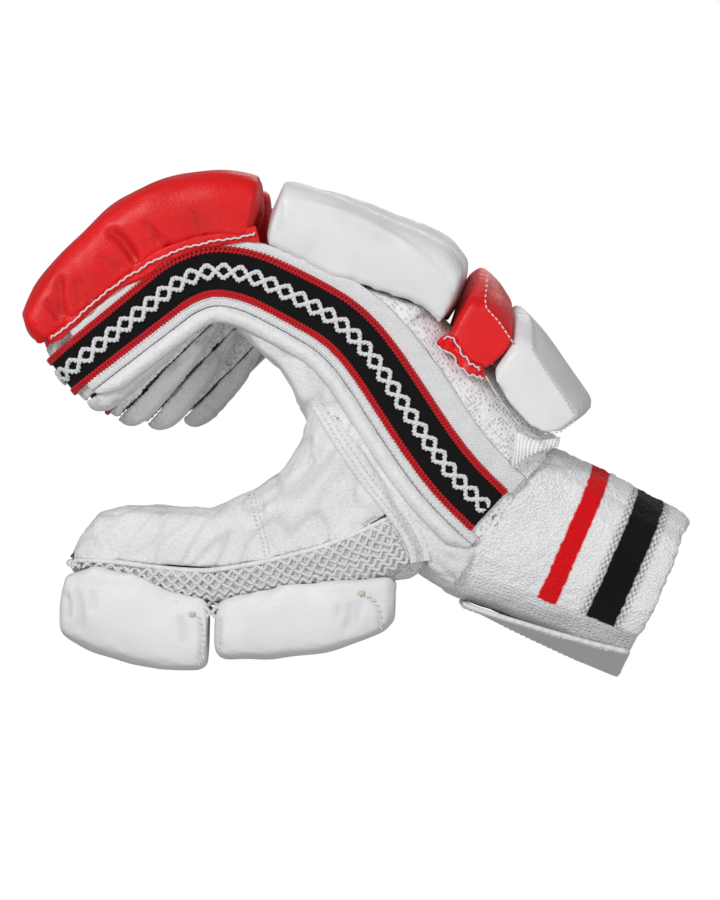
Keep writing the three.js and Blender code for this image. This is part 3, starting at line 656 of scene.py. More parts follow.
def knit_cloth(name, colour, deep, pitch, course, depth, sheen=0.2):
    """Ribbed knit: ribs run along the path, with a course of stitches across each, and painted shade in the
    hollows between them and in folds.
    """
    made = Finish(name, colour, 0.93, Specular_IOR_Level=0.12, Sheen_Weight=sheen, Sheen_Roughness=0.5)
    where = made.place((1 / pitch, 1 / pitch, 1), uv="path")
    rib = made.stripes(where, 0.5, 0.15, "Y")
    small = made.place((1 / course, 1 / pitch, 1), uv="path")
    loop = made.stripes(small, 0.5, 0.8, "DIAGONAL")
    height = made.sum("MULTIPLY_ADD", loop, 0.4, rib)
    fuzz = made.noise(made.place(), 1600, 2)
    # Painted shade: the colour darkens towards deep in the hollows between ribs and stitches
    tone = made.mix(made.between(height, 0.1, 0.75), deep, colour)
    tone = made.mix(made.between(fuzz, 0.55, 0.75, 0, 0.2), tone, deep)
    # Painted shade in folds
    made.colour(made.mix(made.fold(), tone, deep))
    made.bump(height, depth, 0.8)
    made.bump(fuzz, 0.12, 0.7)
    return made.material


def mesh_cloth(name, colour, deep):
    """A soft open mesh, with small pores in rows, and painted shade in the pores and in folds."""
    made = Finish(name, colour, 0.95, Specular_IOR_Level=0.12, Sheen_Weight=0.3, Sheen_Roughness=0.5)
    where = made.place((1 / 1.5, 1 / 1.3, 1), uv="path")
    pores = made.cells(where, 1, "F1", 0.5)
    pore = made.between(pores, 0.1, 0.5)
    fuzz = made.noise(made.place(), 1500, 3)
    # Painted shade: the pores are darkened towards deep
    tone = made.mix(pore, deep, colour)
    tone = made.mix(made.between(fuzz, 0.5, 0.8, 0, 0.25), tone, deep)
    # Painted shade in folds
    made.colour(made.mix(made.fold(), tone, deep))
    made.bump(pore, 0.5, 0.8)
    made.bump(made.noise(made.place(), 250, 3), 0.6, 0.5)
    made.bump(fuzz, 0.2, 0.8)
    return made.material


def thread(name, colour):
    """Twisted thread, with darker fibres."""
    made = Finish(name, colour, 0.7, Specular_IOR_Level=0.25, Sheen_Weight=0.15, Sheen_Roughness=0.4)
    fibre = made.noise(made.place((1, 1, 2.4), turn=(0.5, 0.4, 0)), 2200, 2)
    made.colour(made.mix(made.between(fibre, 0.3, 0.7, 0, 0.55), colour, tuple(0.6 * c for c in colour)))
    made.bump(made.noise(made.place(), 1900, 2), 0.15, 0.8)
    return made.material


# The cuff's stripes, from its open end, and the bare patch for the strap, from the near side down
BLACK_LOOPS = (8.5, 25)
BLACK_STRIPE = (11, 22.5)
RED_STRIPE = (34.5, 42)
PATCH = (-88.0, -21.7)


def towelling():
    """Looped towelling with a red stripe, and a black one that fades out by rows of loops. Both stop at
    the bare patch that the strap is sewn to."""
    white, red, black = (0.95, 0.95, 0.96), (0.74, 0.006, 0.01), (0.006, 0.006, 0.007)
    made = Finish("towelling", white, 0.97, Specular_IOR_Level=0.06, Sheen_Weight=0.06, Sheen_Roughness=0.6)
    split = made.node("SeparateXYZ", {"Vector": made.place(uv="path")})
    wobble = made.noise(made.place(), 420, 2)
    along = made.sum("ADD", split.outputs["X"], made.between(wobble, 0.2, 0.8, -0.5, 0.5))

    def band(low, high, soft):
        rise = made.between(along, low - soft, low + soft)
        fall = made.between(along, high - soft, high + soft, 1, 0)
        return made.sum("MULTIPLY", rise, fall)

    across = made.sum("ADD", split.outputs["Y"], made.between(wobble, 0.2, 0.8, -0.4, 0.4))
    above = made.between(across, PATCH[1] - 0.4, PATCH[1] + 0.4)
    striped = made.sum("MAXIMUM", above, made.between(across, PATCH[0] - 0.4, PATCH[0] + 0.4, 1, 0))
    checks = made.node("TexChecker", {"Vector": made.place((1, 0.62, 1), uv="path"), "Scale": 1.1})
    shown = made.between(checks.outputs["Fac"], 0, 1, 0.08, 0.6)
    fade = made.sum("MULTIPLY", band(*BLACK_LOOPS, 0.9), shown)
    dark = made.sum("MULTIPLY", striped, made.sum("MAXIMUM", fade, band(*BLACK_STRIPE, 0.4)))
    ruddy = made.sum("MULTIPLY", striped, band(*RED_STRIPE, 0.4))
    loops = made.cells(made.place((1, 1.25, 1), uv="path"), 0.95, "F1", 0.8)
    fuzz = made.noise(made.place(), 900, 3)
    # Painted shade: grey between the loops
    shade = made.mix(made.between(loops, 0.25, 0.75, 0, 0.35), white, (0.5, 0.5, 0.52))
    tone = made.mix(dark, made.mix(ruddy, shade, red), black)
    tone = made.mix(made.between(fuzz, 0.66, 0.85, 0, 0.08), tone, (0.5, 0.5, 0.5))
    made.colour(tone)
    dots = made.cells(made.place(uv="path"), 0.55, "F1", 0.1)
    pits = made.sum("MULTIPLY", made.between(dots, 0.1, 0.3, 1, 0), made.sum("SUBTRACT", 1.0, striped))
    made.bump(pits, 0.5, 0.6)
    made.bump(made.between(loops, 0, 0.8, 1, 0), 0.45, 0.9)
    made.bump(fuzz, 0.2, 0.8)
    return made.material


white_pad = smooth_leather("white_pad_leather", (0.81, 0.81, 0.82), (0.42, 0.42, 0.44), (0.75, 0.75, 0.76),
                           0.42)
red_pad = smooth_leather("red_pad_leather", (0.8, 0.005, 0.007), (0.3, 0.0, 0.002), (0.7, 0.004, 0.006), 0.44)
leather = grain_leather("glove_leather", (0.85, 0.85, 0.86), (0.48, 0.48, 0.49), 0.6)
knit = knit_cloth("rib_knit", (0.95, 0.95, 0.96), (0.8, 0.8, 0.82), 1.05, 0.9, 0.35)
# A grey sheet of painted shade behind the thumb's open net, so that its holes read dark
painted_shade_net = mesh_cloth("painted_shade_net", (0.68, 0.68, 0.69), (0.42, 0.42, 0.43))
open_mesh = mesh_cloth("open_mesh", (0.88, 0.88, 0.89), (0.66, 0.66, 0.68))
soft_cloth = grain_leather("soft_edge_leather", (0.86, 0.86, 0.87), (0.6, 0.6, 0.62), 0.7)
web = knit_cloth("black_web", (0.011, 0.011, 0.012), (0.003, 0.003, 0.003), 1.0, 0.9, 0.35, 0.04)
white_thread = thread("white_thread", (0.82, 0.82, 0.83))
red_thread = thread("red_thread", (0.6, 0.008, 0.014))
waxed_thread = thread("waxed_thread", (0.72, 0.68, 0.55))
cuff_cloth = towelling()
strap_face = smooth_leather("strap_leather", (0.77, 0.77, 0.78), (0.5, 0.5, 0.52), (0.7, 0.7, 0.72), 0.4)


# The padded pieces

# Sizes of a finger's pad. The white one ends and the red one starts at a share of the way to the joint
PAD_THICK = 25
PAD_PROUD = 4.5
PAD_JOINT = 0.84
TIP_LEAN = -0.15
PAD_SPACE = 1.6
PAD_ROOT = -8
PAD_ROOT_LEAN = 0.46
WHITE_HEIGHTS = ((0, 0.3, 0.6, 1), (0.8, 0.9, 1.12, 0.98))
RED_HEIGHTS = ((0, 0.34, 0.7, 0.9, 1), (0.97, 1, 0.9, 0.74, 0.48))
# Half of a pad's outline across the finger: shares of its half width, and of its thickness
PAD_OUTLINE = ((0.45, -0.02), (0.72, -0.02), (0.8, -0.1), (0.93, 0.05), (1, 0.3), (0.99, 0.55), (0.96, 0.72),
               (0.84, 0.83), (0.7, 0.92), (0.5, 0.97), (0.25, 1), (0, 1.01))


def eased(values, at):
    """A table's value at a share of its way, rounded where its straight runs meet."""
    return sum(np.interp(at + d, *values) for d in np.linspace(-0.09, 0.09, 7)) / 7


def stall_pad(name, track, start, end, lean_start, lean_end, heights):
    """A finger's pad as a closed form, drawn through many sections along the stall. It stands out past
    the hand's two sides, and leaves a space to its neighbour's pad."""
    outward = HALF_FINGER + PAD_PROUD
    inward = HALF_PITCH - PAD_SPACE / 2
    near = outward if name.startswith("index") else inward
    far = outward if name.startswith("little") else inward
    half = np.array(PAD_OUTLINE)
    outline = np.concatenate([half * (-near, 1), half[::-1] * (far, 1), [(0, -0.02), half[0] * (-near, 1)]])
    sides = len(outline) - 1
    columns = 44

    def place(u, v):
        end_drop = np.clip(np.minimum(u, 1 - u) * columns / 3, 0, 1)
        rounding = np.sqrt(1 - (1 - end_drop) ** 2)
        along = np.clip(u, 0.001, 0.999)
        s = start + (end - start) * along
        k = v * sides
        y = np.interp(k, range(sides + 1), outline[:, 0])
        up = np.interp(k, range(sides + 1), outline[:, 1])
        thick = PAD_THICK * eased(heights, along)
        shrink = np.where((u < 0.001) | (u > 0.999), CLOSED_END, 0.86 + 0.14 * rounding)
        foot = track.top(s) + GAP
        n = foot + thick * (0.45 + (up - 0.45) * shrink)
        lean = lean_start + (lean_end - lean_start) * along
        flat = track.at(s + lean * (n - foot), n)
        return np.stack([flat[:, 0], track.across + y * shrink, flat[:, 1]], 1)

    piece = grid(name + "_cover", columns, sides, place, closed=True)
    face_out(piece)
    return piece


def padded_piece(piece, node, material, slot, held, size, cap, fill, *details):
    """Remeshes a pad with faces of a size, presses its cover out as cloth over foam, and adds its folds.
    Each detail moves the corners and gives how much painted shade it leaves on them."""
    remeshed(piece, size, 3)
    pressed(piece, cap, held(places_of(piece)))
    apply(piece, "SUBSURF", levels=1, render_levels=1)
    shade_map(piece, sum(detail(piece) for detail in details))
    smooth_shade(piece)
    finish(piece, material, slot, node)


def on_stall(track):
    """Holds what lies on a finger's back."""
    def held(places):
        s, n = track.locate(places[:, [0, 2]])
        return np.clip((track.top(s) + 2.5 - n) / 1.5, 0, 1)

    return held


PUCKER_END = 4


def puckers(track, seed, closeness, deepest):
    """Short creases that rise from a pad's stitched foot, with painted shade in them."""
    def crease(piece):
        places, normals = places_of(piece), normals_of(piece)
        s, n = track.locate(places[:, [0, 2]])
        height = n - track.top(s)
        random = np.random.default_rng(seed)
        depth = np.zeros(len(s))
        for side in (-1, 1):
            facing = np.clip(side * normals[:, 1] * 2, 0, 1)
            at = s.min() + PUCKER_END
            while at < s.max() - PUCKER_END:
                at += random.uniform(*closeness)
                deep = random.uniform(0.3, 1) * deepest
                reach = random.uniform(4, 11)
                lean = random.uniform(-0.3, 0.3)
                wide = random.uniform(0.8, 1.5)
                away = (s - at - lean * height) / (wide * (1 + 0.1 * height.clip(0)))
                fade = np.exp(-((height / reach).clip(0)) ** 2) * (height > -4)
                depth += facing * fade * deep * np.exp(-away ** 2)
        put_places(piece, places - normals * depth[:, None])
        return np.clip(depth / PUCKER_PAINTED_SHADE[0], 0, PUCKER_PAINTED_SHADE[1])

    return crease


def uneven(seed, size, depth):
    """Shallow hollows and swells, as of foam that has been used."""
    def swell(piece):
        places = places_of(piece)
        put_places(piece, places + normals_of(piece) * (depth * waves(places, size, seed))[:, None])
        return 0

    return swell


# Folds as side-view lines, each with its depth and its width, for creased
WHITE_RIDGE = ((-29.9, 177.9), (-20.8, 177.0), (-12.5, 175.0), (-3.8, 172.3), (5.0, 168.4), (14.2, 163.5),
               (22.7, 156.9), (28.1, 151.1), (31.7, 145.2), (33.9, 136.6))
WHITE_FOLDS = ((WHITE_RIDGE, -0.7, 1.3), (((-31.5, 177.5), (-31.9, 171), (-31.0, 164)), 0.7, 1.1))
TIP_FOLDS = (
    (((-84.2, 151.5), (-86.5, 156.3), (-90.5, 161.0), (-96.5, 165.0)), 1.9, 1.7),
    (((-88.5, 149.0), (-93.0, 152.0), (-99.0, 153.5)), 1.0, 1.6),
    (((-76.7, 158.6), (-78.6, 163.6), (-82.5, 168.2)), 1.2, 1.5),
    (((-61.8, 162.5), (-62.4, 168.4), (-64, 173)), 0.8, 1.4),
    (((-112.0, 129.3), (-114.3, 133.9), (-117.3, 137.9)), 1.6, 1.5),
    (((-110.6, 130.3), (-112.4, 138.7), (-113.0, 147.2)), 1.3, 1.5),
    (((-104.5, 135.0), (-106.5, 141.0), (-106.0, 147.0)), 0.7, 1.4),
    (((-120.0, 139.0), (-113.0, 152.0), (-101.0, 165.0), (-86.0, 176.5), (-70.0, 183.0), (-55.0, 184.5)),
     -0.5, 1.5),
)
folds = {"index_pad": (creased(*WHITE_FOLDS),), "index_tip_pad": (creased(*TIP_FOLDS),)}

for place, (name, track) in enumerate(tracks.items()):
    root, joint = HAND_LENGTH + PAD_ROOT, HAND_LENGTH + PAD_JOINT * track.proximal
    tip = track.end + NOSE + PAD_PROUD / 2
    white, red = name + "_pad", name + "_tip_pad"
    padded_piece(stall_pad(white, track, root, joint - PAD_SPACE / 2, PAD_ROOT_LEAN, 0, WHITE_HEIGHTS),
                 white, white_pad, "white_pad", on_stall(track), 2.2, 1.6, 0.9,
                 uneven(10 + place, 24, 0.25), puckers(track, 14 + place, (10, 24), 0.35),
                 *folds.get(white, ()))
    padded_piece(stall_pad(red, track, joint + PAD_SPACE / 2, tip, 0, TIP_LEAN, RED_HEIGHTS),
                 red, red_pad, "red_pad", on_stall(track), 2.2, 1.8, 0.8,
                 uneven(20 + place, 20, 0.45), puckers(track, 24 + place, (6, 13), 1.2),
                 *folds.get(red, ()))


# The bar's and the back pad's outlines in the side view: at their ends, and over the middle of the hand
BAR_NEAR = ((31.9, 127.1), (36.1, 135.9), (40.5, 142.1), (46.2, 139.6), (52.0, 133.8), (57.5, 126.5),
            (52.8, 119.9), (47.3, 115.6), (40.5, 117.6), (35.1, 122.4))
BAR_MIDDLE = ((33.3, 131.3), (36.7, 142.7), (40.1, 153.4), (45.2, 157.3), (52.2, 151.1), (57.7, 143.4),
              (56.6, 132.1), (51.6, 124.4), (44.1, 123.4), (38.0, 126.2))
BACK_NEAR = ((47.4, 114.5), (52.4, 120.3), (57.5, 126.1), (63.2, 125.1), (67.9, 118.5), (74.6, 109.3),
             (81.3, 99.8), (80.6, 97.5), (74.4, 92.8), (68.4, 92.2), (62.3, 94.6), (54.9, 102.7))
BACK_MIDDLE = ((52.3, 122.4), (54.3, 132.0), (56.3, 141.8), (59.6, 143.8), (68.9, 133.6), (79.5, 120.0),
               (88.2, 108.6), (89.4, 104.9), (85.0, 100.0), (76.6, 96.6), (67.8, 101.2), (58.2, 110.1))
BAR_RIDGE = ((45.3, 156.5), (46.6, 150.6), (45.7, 143.0), (46.2, 139.6), (50.9, 134.9), (57.1, 126.4))
BACK_RIDGE = ((60.0, 142.3), (63.3, 134.2), (63.6, 125.1), (67.9, 118.5), (74.6, 109.3), (81.3, 99.8))
PAD_SPAN = (-50.0, 51.6)
BACK_HELD = 28


def profile_pad(name, near, middle):
    """A pad that lies across the back of the hand, through sections that rise to its middle."""
    near, middle = np.array(near), np.array(middle)
    sides, columns = 4 * len(near), 40
    centre, half = sum(PAD_SPAN) / 2, (PAD_SPAN[1] - PAD_SPAN[0]) / 2

    def place(u, v):
        i = np.rint(u * columns)
        from_end = np.minimum(i, columns - i)
        t = np.interp(i, (0, 1, 2, columns - 2, columns - 1, columns), (-1, -1, -0.96, 0.96, 1, 1))
        rise = (1 - np.abs(t) ** 2.2) ** 0.75
        k = (v * len(near)) % len(near)
        shape = []
        for axis in (0, 1):
            a = np.interp(k, range(len(near) + 1), [*near[:, axis], near[0, axis]])
            b = np.interp(k, range(len(near) + 1), [*middle[:, axis], middle[0, axis]])
            mean = near[:, axis].mean() + (middle[:, axis].mean() - near[:, axis].mean()) * rise
            size = np.interp(from_end, (0, 1, 2), (CLOSED_END, 0.93, 1))
            shape.append(mean + (a + (b - a) * rise - mean) * size)
        return np.stack([shape[0], centre + half * t, shape[1]], 1)

    piece = grid(name, columns, sides, place, closed=True)
    face_out(piece)
    return piece


def on_back(places):
    """Holds what lies on the back of the hand."""
    height = index.locate(places[:, [0, 2]])[1]
    return np.clip((BACK_HELD - height) / 1.5, 0, 1)


padded_piece(profile_pad("back_pad_cover", BACK_NEAR, BACK_MIDDLE), "back_pad", white_pad, "white_pad",
             on_back, 2.0, 0.7, 0.9, uneven(31, 26, 0.2), creased((BACK_RIDGE, -0.5, 1.2)))
padded_piece(profile_pad("knuckle_bar_cover", BAR_NEAR, BAR_MIDDLE), "knuckle_bar", red_pad, "red_pad",
             on_back, 1.7, 0.6, 0.9, uneven(32, 22, 0.2), creased((BAR_RIDGE, -0.5, 1.2)))


def under_thumb(places):
    """Holds the tops of the thumb's pads."""
    top = np.percentile(places[:, 2], 97)
    return np.clip((places[:, 2] - top + 4) / 2, 0, 1)


TIP_END_SEAM = ((-57.7, 21.4), (-56.3, 17.7), (-55.6, 13.5), (-55.8, 7.4), (-57.0, 2.4))
BASE_START_SEAM = ((-49.3, 21.6), (-49.8, 15.8), (-49.5, 7.4))
BASE_END_SEAM = ((3.0, 31.3), (6.0, 30.8), (8.6, 28.6), (10.4, 24.4), (11.0, 17.5))
THUMB_PUCKERS = {
    "thumb_tip_pad": (
        (((-108.2, 29.2), (-106.5, 23.4), (-107.1, 17.5)), 1.2, 1.4),
        (((-104.6, 30.9), (-102.5, 24.7), (-101.6, 18.7), (-102.2, 13.2)), 1.0, 1.5),
        (((-98.5, 30), (-97.0, 25.3), (-97.4, 20.7)), 0.6, 1.4),
        (((-64.9, 22.1), (-62.9, 16.2), (-62.7, 9.8)), 0.8, 1.4),
        (TIP_END_SEAM, 0.9, 1.1),
    ),
    "thumb_base_pad": (
        (BASE_START_SEAM, 0.7, 1.1),
        (BASE_END_SEAM, 0.8, 1.1),
        (((-0.3, 29.7), (-0.9, 23.0), (-2.2, 16.6)), 0.9, 1.4),
        (((3.4, 30.6), (2.1, 24.3), (1.5, 20)), 0.7, 1.3),
        (((-4.9, 28.1), (-5.5, 21.8)), 0.6, 1.3),
    ),
}
for seed, name in ((41, "thumb_tip_pad"), (42, "thumb_base_pad")):
    padded_piece(copied(name + "_cover", name), name, white_pad, "white_pad", under_thumb, 2.0, 1.4, 0.8,
                 uneven(seed, 18, 0.3), creased(*THUMB_PUCKERS[name]), creased(*THUMB_PUCKERS[name], side=1))


# The skins of the hand, the fingers and the thumb

def wrinkled(seed, size, depth):
    """Branching wrinkles of a thin skin, narrow and pressed in, with soft swells between them and painted
    shade in them.
    """
    def wrinkle(piece):
        places, normals = places_of(piece), normals_of(piece)
        valley = np.exp(-(waves(places, size, seed) / 0.13) ** 2)
        patch = np.clip(0.5 + waves(places, 3 * size, seed + 1), 0, 1)
        cut = depth * valley * patch
        put_places(piece, places - normals * cut[:, None])
        return np.clip(0.5 * cut / max(depth, 0.1), 0, 0.4)

    return wrinkle


def skin(name, nodes, material, slot, size, seed, depth, *details, swell=0.3):
    """One skin over solids that touch, uneven by a depth, with its own folds and their painted shade."""
    piece = copied(name, *nodes)
    remeshed(piece, size, 6)
    places = places_of(piece)
    out = swell + depth * waves(places, 14, seed) + 0.4 * depth * waves(places, 5, seed + 1)
    put_places(piece, places + normals_of(piece) * out[:, None])
    path_uv(piece, *index.locate(places[:, [0, 2]]))
    shade_map(piece, sum(detail(piece) for detail in details))
    smooth_shade(piece)
    return finish(piece, material, slot, *nodes)


THUMB_SEAM = ((-37.6, 69.0), (-35.7, 63.3), (-33.2, 55.9), (-31.1, 49.5), (-30.1, 44.5))
THUMB_FOLD = ((-72.5, 63.5), (-72.8, 58), (-72.0, 52.7))
PALM_FOLDS = (
    (((-58.8, 128.0), (-54.9, 122.9), (-52.0, 116.6), (-49.6, 112.9)), 1.0, 1.5),
    (((-44, 122), (-38, 113), (-29, 107), (-22, 101)), 0.9, 1.6),
    (((-30, 106), (-24, 99), (-22, 91), (-24, 84)), 0.8, 1.6),
    (((20, 60), (26, 55), (33, 51), (40, 50)), 1.1, 1.3),
    (((24, 54), (30, 50), (36, 46), (40, 44)), 1.0, 1.3),
    (((26, 48), (31, 44), (36, 40), (39, 37)), 0.9, 1.2),
    (((24, 42), (29, 39), (34, 36), (37, 33)), 0.8, 1.2),
    (((27, 58), (29, 52), (33, 47)), 0.6, 1.2),
)
THUMB_FOLDS = (
    (THUMB_SEAM, 0.9, 1.0),
    (THUMB_FOLD, 0.7, 1.5),
    (((-8, 96), (-12, 90), (-16, 82), (-24, 76)), 0.5, 1.6),
    (((-2, 78), (-10, 72), (-14, 64), (-12, 56)), 0.5, 1.8),
    (((8, 62), (4, 58), (-2, 56)), 0.7, 1.4),
    (((10, 58), (6, 54), (2, 53)), 0.6, 1.2),
    (((-55, 66), (-50, 62), (-44, 60)), 0.4, 1.6),
)
FAR_FOLDS = (
    (((-92, 128), (-86, 124), (-80, 124), (-74, 127)), 1.6, 1.5),
    (((-84, 116), (-78, 120), (-70, 121)), 1.5, 1.5),
    (((-74, 111), (-70, 116), (-62, 120)), 1.3, 1.5),
    (((-66, 126), (-60, 124), (-56, 126)), 1.4, 1.5),
    (((-60, 116), (-56, 120), (-50, 122)), 1.2, 1.5),
)
leather_nodes = ["palm_leather", "thumb_leather", *(name + "_leather" for name in tracks)]
leather_skin = skin("leather_skin", leather_nodes, leather, "leather", 1.3, 72, 0.32,
                    creased(*PALM_FOLDS, *THUMB_FOLDS, *FAR_FOLDS), wrinkled(100, 17, 0.45))
cloth_nodes = ["hand_back", *(name + "_back" for name in tracks)]
cloth_skin = skin("cloth_skin", cloth_nodes, open_mesh, "knit", 1.4, 71, 0.3)
# The thumb net's grey skin is painted shade, seen through the net's holes
net_skin = skin("thumb_net_lining", ["thumb_net"], painted_shade_net, "knit", 1.3, 74, 0.15, swell=0.1)


def lining(name, node, material, slot, inward):
    """A layer under a skin, so that nothing is seen through where two skins meet."""
    piece = copied(name, node)
    put_places(piece, places_of(piece) - normals_of(piece) * inward)
    path_uv(piece, *index.locate(places_of(piece)[:, [0, 2]]))
    shade_map(piece)
    smooth_shade(piece)
    finish(piece, material, slot)


lining("thumb_leather_lining", "thumb_leather", leather, "leather", 0.75)
lining("palm_leather_lining", "palm_leather", leather, "leather", 0.6)
# The net's grey backing is painted shade behind its holes
lining("thumb_net_backing", "thumb_net", painted_shade_net, "knit", 0.3)


# The seams of the thumb and the palm

thumb_face = surface_of(leather_skin, net_skin)
palm_face = surface_of(leather_skin, net_skin, cloth_skin)
# Side-view lines of the thumb's seam, from its end to the palm, and of the palm's welt
NET_EDGE = ((-106.0, 39.2), (-100, 39.9), (-90, 39.8), (-78, 38.6), (-66, 37.7), (-55, 37.6), (-44.6, 39.4),
            (-34, 41.7), (-24.2, 44.4), (-13.0, 47.8), (-3.7, 51.6), (5.7, 55.9), (12, 59.6))
WELT = ((-18.0, 100.4), (-14.8, 95.2), (-8.9, 86.3), (-2.6, 77.5), (4.4, 68.7), (11.4, 61.0), (16.9, 53.7),
        (20.2, 47.5), (20.9, 43.5))


NET_START = 1.3
NET_ROW = 2.15
NET_SWAY = 0.95


def net(name, side, edge):
    """The open net of the thumb: threads that sway and touch their neighbours, so that holes are left."""
    for row in range(8):
        # The lower threads start further along, where the net is deep enough for them
        line = shifted(edge, NET_START + NET_ROW * row)[0 if row < 3 else 2 if row < 4 else 3:]
        cord_on(f"{name}_{row}", thumb_face, line, 0.72, 0.3, white_thread, "knit", side, 5,
                NET_SWAY if row % 2 else -NET_SWAY, 4.6)


for side, name, edge in ((-1, "near", NET_EDGE), (1, "far", NET_EDGE[:8])):
    net(f"thumb_net_thread_{name}", side, edge)
    cord_on(f"thumb_hem_{name}", thumb_face, shifted(edge, -0.65), 1.0, -0.1, leather, "leather", side)
    stitches_on(f"thumb_hem_loops_{name}", thumb_face, edge, 2.1, 2.0, 0.42, 0.3, "knit", side, 0.9, 1.2)
near_end, far_end = (draped(thumb_face, NET_EDGE[:1], 0, side)[0] for side in (-1, 1))


def round_end(t):
    """The hem's way round the thumb's end, from the near side to the far one."""
    across = (1 - np.cos(math.pi * t)) / 2
    places = near_end + (far_end - near_end) * across[:, None]
    places[:, 0] -= 1.2 * np.sin(math.pi * t)
    return places


finish(tube("thumb_hem_end", round_end, 1.3, 40, 8), leather, "leather")
stitches_on("thumb_seam_stitches", thumb_face, shifted(THUMB_SEAM, 1.3), 1.9, 1.5, 0.3, 0.1, "knit")
stitches_on("thumb_seam_pinks", thumb_face, shifted(THUMB_SEAM, 3.0), 1.7, 1.2, 0.4, 0.05, "knit", slant=0.8)


def welt():
    """The leather fold that covers the seam between the thumb's panel and the palm."""
    columns, rows = 120, 8
    along, across = shares(columns), shares(rows)
    flat_u, flat_v = np.tile(along, rows + 1), np.repeat(across, columns + 1)
    wide = np.interp(along, (0, 0.2, 0.6, 1), (2.8, 8.0, 8.4, 8.0))
    base = curve(WELT)(along)
    flat = np.concatenate([shifted(base, -wide * v) for v in across])
    lift = 1.5 * np.sqrt(np.clip(1 - (flat_v * 1.02) ** 1.3, 0, 1)) * np.clip(flat_v * 6, 0.25, 1) - 0.1
    lift += 0.25 * waves(flat, 7, 110) * (1 - flat_v)
    lift *= np.clip(np.minimum(flat_u, 1 - flat_u) * 14, 0.1, 1)
    places = draped(palm_face, flat, 0, spread=2.0)
    # Level along its length: a running median, then a running mean
    depth = places[:, 1].reshape(rows + 1, columns + 1)
    level = [[np.median(row[max(0, i - 8):i + 9]) for i in range(columns + 1)] for row in depth]
    depth = np.stack([np.convolve(np.pad(row, 4, mode="edge"), np.ones(9) / 9, "valid") for row in level])
    places[:, 1] = depth.ravel() - lift

    def place(u, v):
        i = np.rint(u * columns).astype(int) + np.rint(v * rows).astype(int) * (columns + 1)
        return places[i]

    piece = grid("palm_welt", columns, rows, place)
    face_side(piece, -1)
    apply(piece, "SOLIDIFY", thickness=1.2 * MM, offset=-1)
    apply(piece, "SUBSURF", levels=1, render_levels=1)
    shade_map(piece)
    return finish(piece, leather, "leather", "palm_piping")


welt_face = surface_of(welt(), leather_skin, net_skin)
for row, aside in enumerate((-2.6, -4.8)):
    stitches_on(f"welt_stitches_{row}", welt_face, shifted(WELT, aside), 2.0, 1.5, 0.32, 0.05, "knit")


# The cuff and the strap

CUFF_LENGTH = 66
CUFF_SLOPE = math.radians(22)
CUFF_HEIGHT = 31
CUFF_WIDTH = 38
CUFF_ROUND = 35
CUFF_REACH = 3.4
CUFF_START = index.at(0, 0) + np.array((math.cos(CUFF_SLOPE), -math.sin(CUFF_SLOPE))) * GAP


def on_cuff(places):
    """How far from its open end and how far round it a place on the cuff lies."""
    away = places[:, [0, 2]] - CUFF_START
    along = away[:, 0] * math.cos(CUFF_SLOPE) - away[:, 1] * math.sin(CUFF_SLOPE)
    up = away[:, 0] * math.sin(CUFF_SLOPE) + away[:, 1] * math.cos(CUFF_SLOPE)
    turn = np.arctan2(up / CUFF_HEIGHT, (SHIFT[1] - places[:, 1]) / CUFF_WIDTH)
    return CUFF_LENGTH - along, turn * CUFF_ROUND


def cuff():
    """The towelling, uneven with its loops, and smoother and pressed in at the bare patch."""
    piece = copied("wrist_cuff_towelling", "wrist_cuff")
    remeshed(piece, 1.5, 6)
    places = places_of(piece)
    along, turn = on_cuff(places)
    bare = np.clip((PATCH[1] + 1 - turn) / 2, 0, 1) * np.clip((turn - PATCH[0] + 1) / 2, 0, 1)
    out = 0.5 * waves(places, 16, 81) + 0.35 * waves(places, 3.0, 82, 24) * (1 - 0.7 * bare) - 0.9 * bare
    # The hand's end of the cuff swells and reaches over the skins beside it
    reach = np.clip((along - 56) / 9, 0, 1) ** 1.5
    places = places + normals_of(piece) * (out + 0.8 * reach)[:, None]
    places[:, 0] -= CUFF_REACH * reach * math.cos(CUFF_SLOPE)
    places[:, 2] += CUFF_REACH * reach * math.sin(CUFF_SLOPE)
    put_places(piece, places)
    path_uv(piece, *on_cuff(places), 2 * math.pi * CUFF_ROUND)
    smooth_shade(piece)
    finish(piece, cuff_cloth, "towelling", "wrist_cuff")


cuff()
strap = copied("wrist_strap_face", "wrist_strap")
remeshed(strap, 0.9, 3)
shade_map(strap)
smooth_shade(strap)
finish(strap, strap_face, "strap", "wrist_strap")


BELOW_STRAP = 60


def strap_edging():
    """Two rows of stitches round the strap's underside."""
    places = places_of(strap)
    middle = (places.max(0) + places.min(0)) / 2
    _, _, ways = np.linalg.svd(places - places.mean(0), full_matrices=False)
    down = ways[2] * (-1 if ways[2][2] > 0 else 1)
    under = surface_of(strap)
    local = (places - middle) @ ways[:2].T
    low, high = local.min(0), local.max(0)
    for row, inset in enumerate((5.0, 7.4)):
        moves = []
        (x0, y0), (x1, y1) = low + inset, high - inset
        corners = np.array(((x0, y0), (x1, y0), (x1, y1), (x0, y1)))
        for a, b in zip(corners, np.roll(corners, -1, 0)):
            size = np.linalg.norm(b - a)
            for share in np.arange(1.2, size - 1, 2.3) / size:
                start = middle + (a + (b - a) * share) @ ways[:2] + down * BELOW_STRAP
                hit = under.ray_cast(Vector(start), Vector(-down))[0]
                if hit is not None:
                    moves.append((turned((b - a) @ ways[:2], down), np.array(hit) - down * 0.05))
        finish(many(f"strap_stitches_{row}", stitch(1.6, 0.32, 5), moves), white_thread, "strap")


strap_edging()


# The tapes

